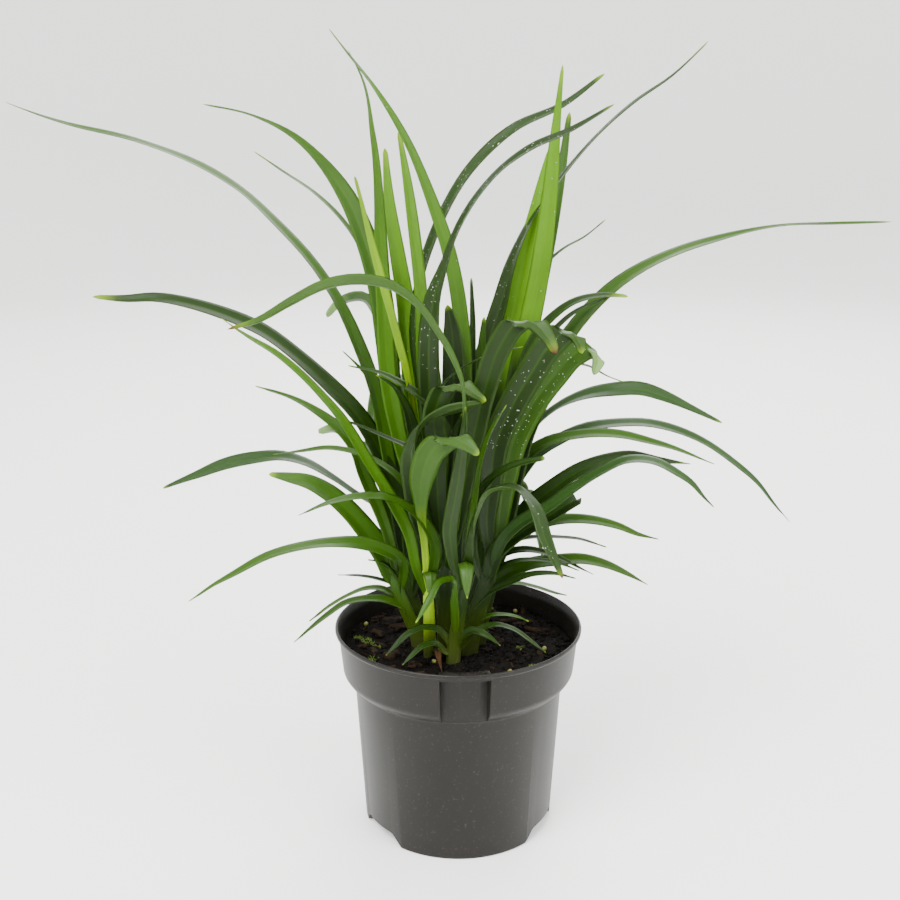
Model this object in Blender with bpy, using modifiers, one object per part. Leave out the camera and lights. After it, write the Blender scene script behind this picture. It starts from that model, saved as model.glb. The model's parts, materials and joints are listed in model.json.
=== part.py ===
"""Potted flax lily: a round nursery pot, its potting mix and eleven leafy shoots.

The origin is on the pot's axis at the height of its foot, +Z is up, and the front is towards -Y.
All named sizes and all tables are in millimetres. MM turns them into metres where a mesh is made.
"""

import math
from collections import namedtuple

import bmesh
import bpy
import numpy as np

MM = 0.001
CLEARANCE = 0.3

# Pot, a 150 mm nursery pot with a rolled lip and a proud collar
LIP_RADIUS = 75.0
LIP_OUTLINE = ((-2.0, -1.0), (-1.2, 0.0), (-0.4, -0.3), (0.0, -1.2), (-0.2, -2.8))
POT_HEIGHT = 127.0
FOOT_RADIUS = 58.0
FOOT_WIDTH = 2.0
WALL = 1.4
BODY_TOP_RADIUS = 63.5
BODY_TOP = 93.0
COLLAR_FOOT = 95.0
COLLAR_ROUND = 4.0
COLLAR_TOP = 122.5
COLLAR_FOOT_RADIUS = 67.7
COLLAR_LOW_RADIUS = 70.8
COLLAR_TOP_RADIUS = 72.8
BASE_PLATE_TOP = 12.0
BASE_PLATE = 1.6
POT_STEPS = 44
SWEEP_STEPS = 4

# Label recess at the front of the collar, and the tag slot behind its top band
RECESS_LEFT = -11.0
RECESS_RIGHT = 18.0
RECESS_LOW = 92.0
RECESS_TOP = 122.0
PANEL_RADIUS = 64.4
PANEL_WALL = 1.5
BAR_TOP = 123.4
SLOT_RADIUS = 71.0
SLOT_RIB_X = (0.5, 11.5)
SLOT_RIB_WIDTH = 1.4

# Drainage: notches in the foot, and holes in the base plate behind them
NOTCH_ANGLES = (64.0, 124.0, 244.0, 304.0)
NOTCH_HALF_ANGLE = 21.0
NOTCH_LEAN = 8.0
NOTCH_HEIGHT = 8.0
DRAIN_RADIUS = 5.0
DRAIN_CIRCLE = 44.0

# Potting mix
SOIL_TOP = 112.0
SOIL_RELIEF = 1.6
SOIL_STEPS = 32
SOIL_RINGS = (59.0, 46.0, 34.0, 0.0)

# Shoots
ROOT_DEPTH = 25.0
STEM_SIDES = 8
BLADE = 0.8
TIP_WIDTH = 1.0
FOLD_AT_ROOT = 14.0
FOLD_AT_TIP = 10.0
STEP_LENGTH = 40.0
KEEL_FROM = 10.0
FOLD_STEP = 8.0
FOLD_REACH = 6.0

# Each waypoint of a leaf is where it is seen against the upright plane through the pot's axis from
# this eye point, 0.7 m in front of the pot. Its depth then slides it along that line of sight.
EYE = np.array([-5.0, -698.0, 428.0])

# path: (x, z) waypoints from near the root to the tip; depth: y at even steps from the root to the tip;
# turn: 0 shows the leaf's upper face to the eye, 90 its edge and 180 its underside, at even steps.
# A last turn past 150 is that of a tip folded over.
# width: the widest, or the widths at even steps from the root to the tip.
Leaf = namedtuple("Leaf", "path depth width turn")
# heading: 0 is to the back and 90 is to the right; reach, top and tip are the arch's size.
Arch = namedtuple("Arch", "heading reach top tip width")
# base: (x, y) where it leaves the mix; stem: (x, z) as seen; depth: y at the stem's top.
Shoot = namedtuple("Shoot", "name base width stem depth leaves")

STEM_THICKNESS = 4.2
LAYER_STEP = 0.3

SHOOTS = (
    Shoot("shoot_front", (-3, -25), 9, [(-1, 120), (2, 140), (5, 162)], -33, [
        Leaf([(8, 175), (11, 195), (19, 210), (33, 212), (43, 203), (52, 180), (63, 155)],
             (-62, -125), (5, 7, 9, 10, 11, 11.5, 11.5, 11, 9.5, 6, 2), (30, 60, 85, 90, 75, 50, 30, 20)),
        Leaf([(5, 114), (14, 122), (22, 124.5), (33, 122), (44, 114.5), (54, 106.5)],
             (-29, -32), 6, (60, 40)),
        Leaf([(2, 117), (9, 121), (17, 118), (26, 111)], (-31, -38), 6, (40, 30)),
        Leaf([(-6, 114), (-12, 121), (-20, 122.5), (-30, 119), (-38, 111.5), (-44.5, 104.5)],
             (-30, -36), 7, (60, 30)),
        Leaf([(-8, 107), (-14, 112.5), (-21, 111), (-29, 104), (-34.5, 98)], (-33, -42), 5, (50, 20)),
        Leaf([(7, 180), (10, 205), (14, 232), (20, 249), (28, 263)], (-46, -72), 6, (50, 60)),
        Arch(178, 26, 182, 166, 9),
        Leaf([(-3, 140), (-5, 154), (-10, 153), (-16, 143), (-26, 126)], (-46, -56), 8, (60, 20)),
        Leaf([(6, 185), (10, 203), (19, 217), (29, 224.5), (40, 228.5), (51, 230.5)],
             (-46, -54), (4, 5, 6, 7, 7.5, 7.5, 7, 6.5, 5.5, 4), (45, 50)),
        Leaf([(-4, 172), (-5, 185), (-2, 205), (1, 225), (3, 245), (4, 262)], (-52, -76), 9, (10, 10)),
    ]),
    Shoot("shoot_young", (-17, -17), 8, [(-17, 125), (-18, 140), (-18.5, 152)], -24, [
        Leaf([(-20, 175), (-22.5, 200), (-21, 222), (-14, 237), (-4, 243), (4, 240), (12, 232.5)],
             (-44, -88), (4, 4.5, 4.5, 4.5, 5.5, 9, 14, 15.5, 14, 11, 3), (0, 0, 170)),
        Arch(172, 18, 172, 156, 9),
        Leaf([(-26, 165), (-30, 184), (-38.5, 202), (-47, 217), (-55, 230), (-62.5, 244), (-70, 256),
              (-81.5, 270), (-93.5, 282.5), (-105.5, 293), (-121.5, 303.5), (-136, 314)],
             (-46, -100), 10, (54, 54)),
        Leaf([(-16, 182), (-28, 198), (-42, 205.5), (-58, 206.5), (-75, 203.5), (-86, 199.5), (-96, 195)],
             (-42, -85), 10, (58, 58)),
    ]),
    Shoot("shoot_right_fan", (6, -12), 13, [(8, 120), (14, 142), (25, 182)], -18, [
        Leaf([(17, 190), (19, 215), (22, 240), (31, 262), (42, 282), (53, 299), (62, 306), (68, 302),
              (71, 293)], (-30, -46), (7, 10, 13, 15, 16, 16, 16, 16, 14.5, 3), (0, 0, 170)),
        Leaf([(24, 190), (27, 215), (32, 240), (41, 260), (55, 280), (68, 294), (76, 297), (80, 291),
              (78, 280.5)], (-20, -36), (7, 10, 13, 15, 16, 16, 15.5, 15, 13, 3), (0, 0, 170)),
        Leaf([(28, 190), (33, 219), (40, 247), (49, 266), (64, 285)],
             (-14, -22), (6, 9, 12, 14, 15, 15, 14, 12, 8, 3), (30, 20)),
        Leaf([(7, 133), (10, 138), (18, 146), (30, 152), (45, 158), (57, 158.5), (71, 155)],
             (-20, -25), 6, (38, 38)),
        Leaf([(8, 124), (15, 129.5), (28, 131.5), (36, 130), (43, 127)], (-14, -12), 5, (60, 60)),
        Leaf([(15, 152), (23, 161), (33, 166), (46, 167), (60, 165), (73, 160)], (-19, -24), 5, (55, 55)),
        Leaf([(27, 180), (38, 191), (52, 199), (68, 211), (85, 222), (100, 229), (115, 228.5), (128, 222),
              (138, 215), (145, 207), (152, 200)], (-42, -90), 11, (60, 42)),
        Leaf([(24, 173), (33, 181), (45, 189), (57, 197), (66, 203), (73, 206.5)],
             (-24, -34), (5, 8, 11, 12.5, 13, 13, 13, 12.5, 12, 9), (40, 35)),
        Leaf([(8, 175), (10, 205), (12, 235), (15, 262)], (-14, -10), 9, (10, 20)),
    ]),
    Shoot("shoot_left", (-24, -4), 10, [(-27, 123), (-33, 138), (-40, 158)], -10, [
        Leaf([(-35, 167), (-45, 173.5), (-58, 177), (-75, 177.5), (-95, 174.5), (-115, 168.5),
              (-135, 158), (-150, 149.5), (-164, 140)], (-26, -70), 11, (57, 57)),
        Leaf([(-46, 172), (-56, 186), (-66, 198), (-78, 209), (-90, 216), (-100, 218.5), (-112, 221)],
             (-12, -8), (9, 13, 15, 15.5, 15, 13, 9, 3), (38, 35)),
        Leaf([(-33, 137), (-42, 140.5), (-55, 141.5), (-68, 139), (-80, 131), (-92, 121), (-101, 113)],
             (-14, -22), 8, (60, 50)),
        Leaf([(-36, 149), (-48, 154.5), (-60, 157), (-73, 157.5)], (-6, -2), 4, (60, 60)),
        Leaf([(-38, 158), (-46, 165.5), (-54.5, 167)], (-12, -14), 4, (60, 60)),
        Leaf([(-40, 174), (-46.5, 197), (-51.5, 209.5), (-56.5, 222), (-61, 236), (-70.5, 249),
              (-81.5, 258), (-94, 265.5), (-106.5, 270.5), (-118, 274)], (-10, -18), 9, (30, 58)),
    ]),
    Shoot("shoot_centre", (-8, -6), 10, [(-8, 125), (-8, 145), (-8, 168)], -12, [
        Leaf([(-4, 190), (0, 225), (3, 255), (2, 275), (-4, 290), (-14, 307), (-25, 322), (-40, 332),
              (-55, 334.5), (-75, 332), (-95, 323), (-115, 312), (-132, 307)],
             (-78, -176), (5, 8, 9, 9, 9, 9, 9.5, 10, 10, 10, 9, 5.5, 1.5), (100, 135)),
        Leaf([(-20, 185), (-26, 210), (-27, 235), (-21, 250), (-8, 258), (4, 262), (15.5, 265)],
             (-34, -58), (6, 9, 12, 13, 13, 13, 12.5, 11, 8, 2), (0, 0, 0, 10, 60, 100, 135, 145)),
        Leaf([(-12, 200), (-13, 235), (-13, 262), (-6, 274), (3, 274), (10, 269), (16, 265)],
             (-28, -52), (6, 9, 12, 13, 14, 14, 13.5, 13, 10, 3), (0, 0, 168)),
        Leaf([(-20, 175), (-24, 195), (-32, 214), (-46, 227), (-62, 234), (-77, 236.5), (-92, 235),
              (-109, 233)], (-27, -32), 8, (58, 58)),
        Leaf([(0, 200), (8, 240), (16, 275), (24, 298), (34, 311), (43, 311), (50, 304), (56, 293)],
             (-22, -76), (6, 9, 12, 13, 13, 13, 13.5, 13.5, 12, 4), (0, 10, 165)),
        Leaf([(-14, 230), (-14, 262), (-8, 276), (4, 286), (18, 293), (37, 297)], (-26, -36), 6, (80, 80)),
        Leaf([(-9, 185), (-9, 205), (-7, 225), (-3, 243), (2, 258)], (-20, -26), 9, (10, 15)),
    ]),
    Shoot("shoot_right", (12, 0.5), 11, [(14, 125), (18, 145), (24, 165)], 0, [
        Leaf([(32, 188), (45, 203), (58, 213.5), (72, 223), (87, 229), (100, 231.5), (118, 229),
              (137, 227)], (-2, -26), 12, (38, 40)),
        Leaf([(31, 190), (34, 215), (42, 233), (52, 240), (66, 244), (80, 245.5), (95, 244.5), (110, 241),
              (125, 237), (151, 227)], (-2, -30), 10, (50, 50)),
        Leaf([(30, 200), (36, 232), (46, 251), (60, 262.5), (75, 269), (90, 271.5), (105, 272),
              (120, 267.5), (135, 261), (154, 252)],
             (8, -5), (4, 5.5, 6.5, 8, 9.5, 11, 11.5, 11, 9, 5, 1.5), (72, 70, 35, 30)),
        Leaf([(23, 170), (33, 178.5), (48, 181.5), (60, 181.5), (72, 180.5), (89, 175)],
             (-4, -12), 5, (55, 55)),
        Leaf([(18, 160), (28, 171), (39, 173.5), (50, 172), (61, 168), (71, 163), (82, 157.5)],
             (-6, -14), 6, (45, 45)),
        Leaf([(22, 176), (35, 185), (50, 190), (65, 192.5), (80, 192), (95, 188.5), (108, 183),
              (120, 180)], (-10, -40), 9, (40, 40)),
        Leaf([(16, 148), (24, 155), (33, 160), (45, 164.5), (60, 166.5), (75, 167), (88, 164), (102, 158),
              (115, 151)], (-4, -14), 10, (40, 37)),
        Leaf([(30, 240), (37, 280), (44, 301), (54, 314), (66, 323), (80, 326.5), (96, 326)],
             (2, -20), (5, 8, 9, 10, 11, 12, 12, 11, 9, 6, 2.5), (54, 54)),
        Leaf([(27, 230), (35, 280), (41, 312), (46, 340), (50, 375), (53, 415), (56, 452)],
             (3, -2), (5, 8, 11, 13, 13.5, 13.5, 12.5, 11, 8.5, 5, 1.5), (15, 15)),
    ]),
    Shoot("shoot_tall", (-7, 5), 11, [(-7, 125), (-8, 145), (-9, 168)], 3, [
        Leaf([(-20, 215), (-26, 255), (-30, 280), (-36, 303), (-42, 326), (-48, 350), (-58, 393)],
             (-8, -42), (4, 3.5, 3.5, 4, 4.5, 6.5, 8.5, 9, 8, 5, 2), (54, 50)),
        Leaf([(-26, 210), (-35, 245), (-41, 280), (-42.5, 310), (-44, 340), (-45, 375), (-48, 415),
              (-53, 446), (-60, 459)], (4, 8), 11, (10, 40, 75)),
        Leaf([(0, 220), (2.5, 265), (2.5, 290), (0, 320), (-6.5, 352), (-15, 378), (-28, 409), (-45, 438),
              (-70, 470)], (2, -22), 10, (25, 70)),
        Leaf([(-14, 230), (-17, 270), (-17, 300), (-14, 325), (-8, 342), (0, 364), (10, 381), (22, 395),
              (40, 408), (60, 416.5), (85, 431.5)],
             (-9, -58), (6, 9, 12, 13, 13, 12, 11, 10.5, 9, 6, 2), (0, 0, 0, 20, 70, 75, 60, 50)),
        Leaf([(-5, 230), (-3, 270), (-3, 295), (-4, 307), (-6.5, 321.5)],
             (-6, -12), (12, 14, 14, 14, 14, 14, 14, 13.5, 11, 3), (0, 0)),
        Leaf([(8, 240), (8, 285), (8, 310), (7, 337)], (1, 0), (4, 4, 4.5, 4.5, 4.5, 4, 3.5, 1.5), (0, 0)),
        Leaf([(-4, 225), (-9, 250), (-16, 261), (-28, 272), (-45, 281.5), (-64, 286)],
             (-11, -28), 9, (45, 45)),
        Leaf([(-20, 215), (-26, 243), (-31, 262), (-38, 274), (-48, 280.5)], (-14, -26), 10, (20, 40)),
        Leaf([(-14, 212), (-28, 236), (-42, 243), (-56, 249.5), (-70, 255)], (-12, -24), 6, (50, 60)),
    ]),
    Shoot("shoot_left_back", (-22, 9), 11, [(-24, 125), (-28, 142), (-33, 162)], 12, [
        Leaf([(-38, 205), (-43, 240), (-49, 272), (-57, 295), (-69, 323), (-82, 343), (-100, 364),
              (-120, 383.5), (-142, 397.5), (-175, 411), (-215, 421), (-247, 432)], (12, 38), 12, (62, 72)),
        Leaf([(-35, 190), (-39, 215), (-47, 236), (-58, 255), (-75, 274), (-93, 291), (-112, 305.5),
              (-132, 315), (-152, 321.5), (-172, 325), (-190, 324.5), (-208, 326)],
             (4, 0), (6, 9, 12, 13.5, 14, 14, 13, 12, 10, 7, 2.5), (48, 40)),
        Leaf([(-38, 215), (-40, 265), (-42, 300), (-46, 332), (-53, 358), (-62, 380), (-75, 399),
              (-92, 415), (-115, 426), (-139.5, 431)],
             (24, 62), (6, 9, 12, 14, 16, 16.5, 16, 13, 6.5, 2.5, 1.2), (30, 30, 38, 52)),
        Leaf([(-36, 187), (-48, 200), (-62, 209), (-75, 218.5), (-90, 227.5), (-103, 231), (-120, 230),
              (-138, 226.5), (-155, 220), (-175, 212)],
             (26, 56), (6, 8, 9, 9, 9.5, 11, 12, 12, 10, 6, 2), (70, 60, 45, 40)),
        Leaf([(-30, 136), (-38, 143), (-47, 148.5), (-56, 148.5), (-66, 144.5), (-77, 138), (-91, 127)],
             (15, 20), 6, (60, 60)),
        Leaf([(-38, 230), (-46, 262), (-54, 281), (-60, 288), (-67, 295)], (14, 18), 6, (40, 40)),
        Arch(-24, 60, 222, 190, 12),
        Leaf([(-35, 168), (-38.5, 185), (-40, 202), (-42, 225), (-45, 250), (-48, 268)],
             (16, 18), (13, 16, 16, 16, 15, 12, 4), (20, 30)),
        Leaf([(-27, 166), (-28, 200), (-29, 226), (-31, 252)], (20, 24), (9, 12, 13, 12, 8, 2), (10, 15)),
    ]),
    Shoot("shoot_right_back", (9, 11), 12, [(10, 125), (12, 145), (16, 168)], 15, [
        Leaf([(20, 230), (27, 280), (31, 315), (36, 342), (41, 368), (46, 392), (50, 408)],
             (20, 34), (6, 9, 12, 14, 15, 15, 14, 12, 9, 5, 2), (10, 10)),
        Leaf([(27, 240), (40, 300), (48, 340), (54, 375), (60.5, 427)],
             (30, 66), (4, 6, 8, 9, 9.5, 9.5, 9, 8, 6, 3), (20, 20)),
        Leaf([(30, 250), (42, 315), (50, 345), (60, 354), (70, 359.5), (82, 369)], (40, 80), 6, (50, 60)),
        Leaf([(30, 220), (45, 270), (60, 298), (72, 315), (88, 331), (105, 342.5), (125, 352),
              (150, 359.5), (180, 366), (210, 367), (242, 368)],
             (28, 42), (6, 9, 11, 13, 13.5, 13, 11.5, 8, 3.5, 2.5, 1.5), (52, 60)),
        Leaf([(26, 200), (36, 219), (46, 233), (60, 242), (76, 249), (92, 251.5), (110, 251.5),
              (128, 247), (145, 239.5), (162, 228), (176, 216), (187, 203), (198, 191)],
             (34, 52), 10, (55, 55)),
        Leaf([(11, 240), (12.5, 266), (13.5, 286.5), (13.5, 301), (14.5, 314.5)],
             (7, 4), (6, 8, 8, 8, 7.5, 6.5, 2), (10, 10)),
        Leaf([(8, 250), (12, 282), (18, 303), (24, 322), (31, 347), (42, 371), (56, 391), (74, 413),
              (95, 432), (115, 446), (134, 464)],
             (15, 38), (8, 10, 11, 11.5, 11.5, 11, 10, 8, 7, 5, 2), (10, 20, 70, 84, 84)),
        Arch(36, 56, 205, 172, 12),
        Leaf([(24, 240), (38, 300), (50, 345), (55, 380), (59.5, 413)],
             (46, 84), (3, 5, 6.5, 7, 7, 7, 7, 6.5, 5, 2.5), (30, 30)),
        Leaf([(30, 230), (44, 285), (55, 307), (66, 317), (78, 323), (88, 327)], (22, 26), 8, (50, 50)),
        Arch(32, 80, 195, 135, 10),
    ]),
    Shoot("shoot_back", (-8, 17), 11, [(-9, 125), (-10, 145), (-12, 168)], 26, [
        Leaf([(-16, 220), (-22, 270), (-25, 310), (-21, 338), (-10, 368), (6, 396), (30, 418), (57, 431),
              (79, 447)], (32, 72), (4, 6, 8, 9, 10, 10.5, 10.5, 10, 9, 6, 2.5), (60, 60, 50, 45)),
        Leaf([(-30, 240), (-38, 290), (-48, 335), (-62, 364), (-80, 383.5), (-98, 396), (-113, 406)],
             (48, 105), 8, (60, 60)),
        Leaf([(-22, 240), (-28, 285), (-31, 325), (-35, 350), (-39, 380), (-41, 408)],
             (38, 70), (5, 8, 11, 13, 13.5, 13, 12, 10, 7, 3), (20, 20)),
        Leaf([(-17, 240), (-21, 285), (-22, 325), (-25, 355), (-29, 390), (-33.5, 417)],
             (28, 45), (5, 7, 9, 11, 11.5, 11.5, 11, 9.5, 7, 3), (40, 35)),
        Leaf([(-34, 262), (-44, 300), (-47, 315), (-54, 325), (-64, 324), (-71, 319), (-75, 314)],
             (50, 80), (5, 8, 10, 11, 12, 12, 12.5, 12, 10, 5), (90, 140)),
        Leaf([(-32, 215), (-50, 232), (-64, 243), (-73, 248), (-82, 246)],
             (60, 105), (5, 8, 10, 11, 12, 12, 12.5, 12, 10, 5), (90, 140)),
        Arch(-8, 150, 280, 215, 13),
        Arch(-24, 138, 262, 180, 12),
        Leaf([(-12, 190), (-10, 230), (-4, 270), (4, 300)], (22, 24), 12, (10, 20)),
        Arch(-22, 95, 215, 160, 10),
        Arch(-12, 42, 150, 132, 7),
        Leaf([(-3, 160), (0, 176), (3, 205), (5, 235), (7, 262)],
             (26, 28), (10, 13, 13, 12, 11, 8, 2), (10, 15)),
    ]),
    Shoot("shoot_back_right", (7, 22), 10, [(8, 125), (9, 145), (12, 165)], 33, [
        Leaf([(14, 142), (22, 150), (35, 152), (47, 149.5), (58, 146), (66, 144)], (36, 42), 6, (60, 70)),
        Leaf([(28, 240), (48, 272), (62, 287), (75, 286), (86, 280), (96, 276)], (45, 70), 5, (60, 60)),
        Arch(15, 150, 270, 195, 13),
        Arch(7, 118, 238, 185, 12),
        Arch(0, 90, 205, 150, 9),
        Arch(28, 110, 300, 270, 12),
        Leaf([(12, 190), (10, 230), (12, 262), (16, 290)], (42, 48), 12, (10, 20)),
        Arch(22, 46, 156, 130, 7),
    ]),
)


def clear_scene():
    for thing in list(bpy.context.scene.objects):
        bpy.data.objects.remove(thing, do_unlink=True)


def collection(name):
    made = bpy.data.collections.new(name)
    bpy.context.scene.collection.children.link(made)
    return made


def material(name, colour, roughness, metallic=0.0):
    made = bpy.data.materials.new(name)
    made.use_nodes = True
    shader = made.node_tree.nodes["Principled BSDF"]
    shader.inputs["Base Color"].default_value = (*colour, 1.0)
    shader.inputs["Roughness"].default_value = roughness
    shader.inputs["Metallic"].default_value = metallic
    return made


def add_object(name, mesh, group):
    made = bpy.data.objects.new(name, mesh)
    group.objects.link(made)
    return made


def mesh_from(bm, name):
    """A mesh whose faces all look outwards."""
    bmesh.ops.recalc_face_normals(bm, faces=bm.faces)
    if bm.calc_volume(signed=True) < 0.0:
        bmesh.ops.reverse_faces(bm, faces=bm.faces)
    mesh = bpy.data.meshes.new(name)
    bm.to_mesh(mesh)
    bm.free()
    return mesh


def apply_modifiers(thing):
    """Replace the object's mesh with the one its modifiers make."""
    depsgraph = bpy.context.evaluated_depsgraph_get()
    mesh = bpy.data.meshes.new_from_object(thing.evaluated_get(depsgraph))
    thing.modifiers.clear()
    thing.data = mesh


def boolean(thing, operation, other):
    """Cut or join with another object, or with every object of a collection, and remove those."""
    modifier = thing.modifiers.new(operation.title(), "BOOLEAN")
    modifier.operation = operation
    modifier.solver = "EXACT"
    if isinstance(other, bpy.types.Collection):
        modifier.operand_type = "COLLECTION"
        modifier.collection = other
        removed = list(other.objects)
    else:
        modifier.object = other
        removed = [other]
    for cutter in removed:
        cutter.hide_render = True
        cutter.display_type = "WIRE"
    apply_modifiers(thing)
    for cutter in removed:
        bpy.data.objects.remove(cutter, do_unlink=True)


def keep_outer_skin(thing):
    """Fill hollows that joining has sealed, and drop loose scraps: only the largest skin stays."""
    bm = bmesh.new()
    bm.from_mesh(thing.data)
    waiting = set(bm.verts)
    skins = []
    while waiting:
        skin = {waiting.pop()}
        edge_of_skin = list(skin)
        while edge_of_skin:
            vert = edge_of_skin.pop()
            for edge in vert.link_edges:
                other = edge.other_vert(vert)
                if other in waiting:
                    waiting.remove(other)
                    skin.add(other)
                    edge_of_skin.append(other)
        skins.append(skin)
    skins.sort(key=len)
    for skin in skins[:-1]:
        bmesh.ops.delete(bm, geom=list(skin), context="VERTS")
    bm.to_mesh(thing.data)
    bm.free()


def turned(name, profile, steps, group):
    """A closed solid of revolution from (radius, height) points that end on the axis."""
    bm = bmesh.new()
    verts = [bm.verts.new((radius * MM, 0.0, height * MM)) for radius, height in profile]
    for start, end in zip(verts, verts[1:]):
        bm.edges.new((start, end))
    mesh = bpy.data.meshes.new(name)
    bm.to_mesh(mesh)
    bm.free()
    made = add_object(name, mesh, group)
    screw = made.modifiers.new("Screw", "SCREW")
    screw.axis = "Z"
    screw.steps = steps
    screw.render_steps = steps
    screw.use_merge_vertices = True
    screw.merge_threshold = 0.00001
    return made


def swept(name, angles, outline, group, lean=0.0, steps=SWEEP_STEPS):
    """A closed (radius, height) outline swept round the pot's axis between two angles.

    The angles are in degrees from the front, positive to the right. Both ends lean in by `lean` degrees
    from the lowest point to the highest.
    """
    heights = [height for _, height in outline]
    low, high = min(heights), max(heights)
    rings = []
    for along in np.linspace(0.0, 1.0, steps + 1):
        ring = []
        for radius, height in outline:
            inset = lean * (height - low) / (high - low)
            angle = math.radians(angles[0] + inset + (angles[1] - angles[0] - 2 * inset) * along)
            ring.append((radius * math.sin(angle), -radius * math.cos(angle), height))
        rings.append(ring)
    return loft(name, rings, group)


def sector_block(name, angles, radii, heights, group, lean=0.0):
    """A block bent round the pot's axis."""
    outline = [(radii[0], heights[0]), (radii[1], heights[0]), (radii[1], heights[1]), (radii[0], heights[1])]
    return swept(name, angles, outline, group, lean)


def cylinder(name, centre, radius, heights, group, segments=24):
    bm = bmesh.new()
    bmesh.ops.create_cone(bm, cap_ends=True, segments=segments, radius1=radius * MM, radius2=radius * MM,
                          depth=(heights[1] - heights[0]) * MM)
    middle = (heights[0] + heights[1]) / 2
    bmesh.ops.translate(bm, verts=bm.verts, vec=(centre[0] * MM, centre[1] * MM, middle * MM))
    return add_object(name, mesh_from(bm, name), group)


def wall_radius(height):
    """Outer radius of the tapered body."""
    return FOOT_RADIUS + (BODY_TOP_RADIUS - FOOT_RADIUS) * height / BODY_TOP


def pot_inside():
    """Points of the pot's inner wall from the base plate up to the collar's top."""
    return [
        (wall_radius(BASE_PLATE_TOP) - WALL, BASE_PLATE_TOP),
        (BODY_TOP_RADIUS - WALL, BODY_TOP + WALL / 2),
        (COLLAR_FOOT_RADIUS - WALL, COLLAR_FOOT + WALL),
        (COLLAR_LOW_RADIUS - WALL - 0.4, COLLAR_FOOT + WALL + COLLAR_ROUND),
        (COLLAR_LOW_RADIUS - WALL, COLLAR_FOOT + WALL + 2 * COLLAR_ROUND),
        (COLLAR_TOP_RADIUS - WALL, COLLAR_TOP),
    ]


def pot_profile():
    """Points round the pot's section: up its inside, over the lip and down its outside."""
    plate_under = BASE_PLATE_TOP - BASE_PLATE
    lip = [(LIP_RADIUS + out, POT_HEIGHT + up) for out, up in LIP_OUTLINE]
    return [(0.0, BASE_PLATE_TOP)] + pot_inside() + lip + [
        (COLLAR_TOP_RADIUS + 0.2, COLLAR_TOP + 0.9),
        (COLLAR_TOP_RADIUS, COLLAR_TOP),
        (COLLAR_LOW_RADIUS, COLLAR_FOOT + 2 * COLLAR_ROUND),
        (COLLAR_LOW_RADIUS - 0.4, COLLAR_FOOT + COLLAR_ROUND),
        (COLLAR_FOOT_RADIUS, COLLAR_FOOT),
        (BODY_TOP_RADIUS, BODY_TOP - WALL / 2),
        (FOOT_RADIUS, 0.0),
        (FOOT_RADIUS - FOOT_WIDTH, 0.0),
        (wall_radius(plate_under) - WALL, plate_under),
        (0.0, plate_under),
    ]


def recess_angles(margin):
    """Ends of the label recess in degrees from the front, each pushed out by a margin in millimetres."""
    spread = math.degrees(margin / PANEL_RADIUS)
    left = math.degrees(math.asin(RECESS_LEFT / COLLAR_TOP_RADIUS))
    right = math.degrees(math.asin(RECESS_RIGHT / COLLAR_TOP_RADIUS))
    return left - spread, right + spread


def build_pot(parts):
    cutters = collection("pot_cutters")
    pot = turned("pot", pot_profile(), POT_STEPS, parts)
    apply_modifiers(pot)

    panel_back = PANEL_RADIUS - PANEL_WALL
    shoulder, *mid_wall = [(radius + WALL / 2, height) for radius, height in pot_inside()[1:]]
    backing = swept("recess_backing", recess_angles(PANEL_WALL),
                    mid_wall + [(mid_wall[-1][0], BAR_TOP), (panel_back, BAR_TOP), (panel_back, shoulder[1])],
                    cutters, steps=SWEEP_STEPS + 1)
    boolean(pot, "UNION", backing)
    outside, above = LIP_RADIUS + 2.0, BAR_TOP + 1.6
    window_and_slot = swept("recess_window", recess_angles(0.0),
                            [(PANEL_RADIUS, RECESS_LOW), (outside, RECESS_LOW), (outside, RECESS_TOP),
                             (SLOT_RADIUS, RECESS_TOP), (SLOT_RADIUS, above), (PANEL_RADIUS, above)], cutters)
    boolean(pot, "DIFFERENCE", window_and_slot)
    half_rib = math.degrees(SLOT_RIB_WIDTH / 2 / PANEL_RADIUS)
    for index, place in enumerate(SLOT_RIB_X):
        middle = math.degrees(math.asin(place / PANEL_RADIUS))
        rib = sector_block(f"slot_rib_{index}", (middle - half_rib, middle + half_rib),
                           (PANEL_RADIUS - 0.7, SLOT_RADIUS + 0.7),
                           (RECESS_TOP - 0.6, RECESS_TOP + 1.0), cutters)
        boolean(pot, "UNION", rib)

    plate_under = BASE_PLATE_TOP - BASE_PLATE
    for index, angle in enumerate(NOTCH_ANGLES):
        notch = sector_block(f"drain_notch_{index}", (angle - NOTCH_HALF_ANGLE, angle + NOTCH_HALF_ANGLE),
                             (FOOT_RADIUS - 6.0, FOOT_RADIUS + 4.0), (-1.0, NOTCH_HEIGHT), cutters,
                             NOTCH_LEAN)
        boolean(pot, "DIFFERENCE", notch)
        turn = math.radians(angle)
        centre = (DRAIN_CIRCLE * math.sin(turn), -DRAIN_CIRCLE * math.cos(turn))
        hole = cylinder(f"drain_hole_{index}", centre, DRAIN_RADIUS,
                        (plate_under - 2.0, BASE_PLATE_TOP + 2.0), cutters)
        boolean(pot, "DIFFERENCE", hole)
    pot.data.shade_smooth()
    pot.data.set_sharp_from_angle(angle=math.radians(30))
    pot.data.materials.clear()
    pot.data.materials.append(material("grey polypropylene", (0.075, 0.070, 0.065), 0.5))
    bpy.data.collections.remove(cutters)
    return pot


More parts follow.
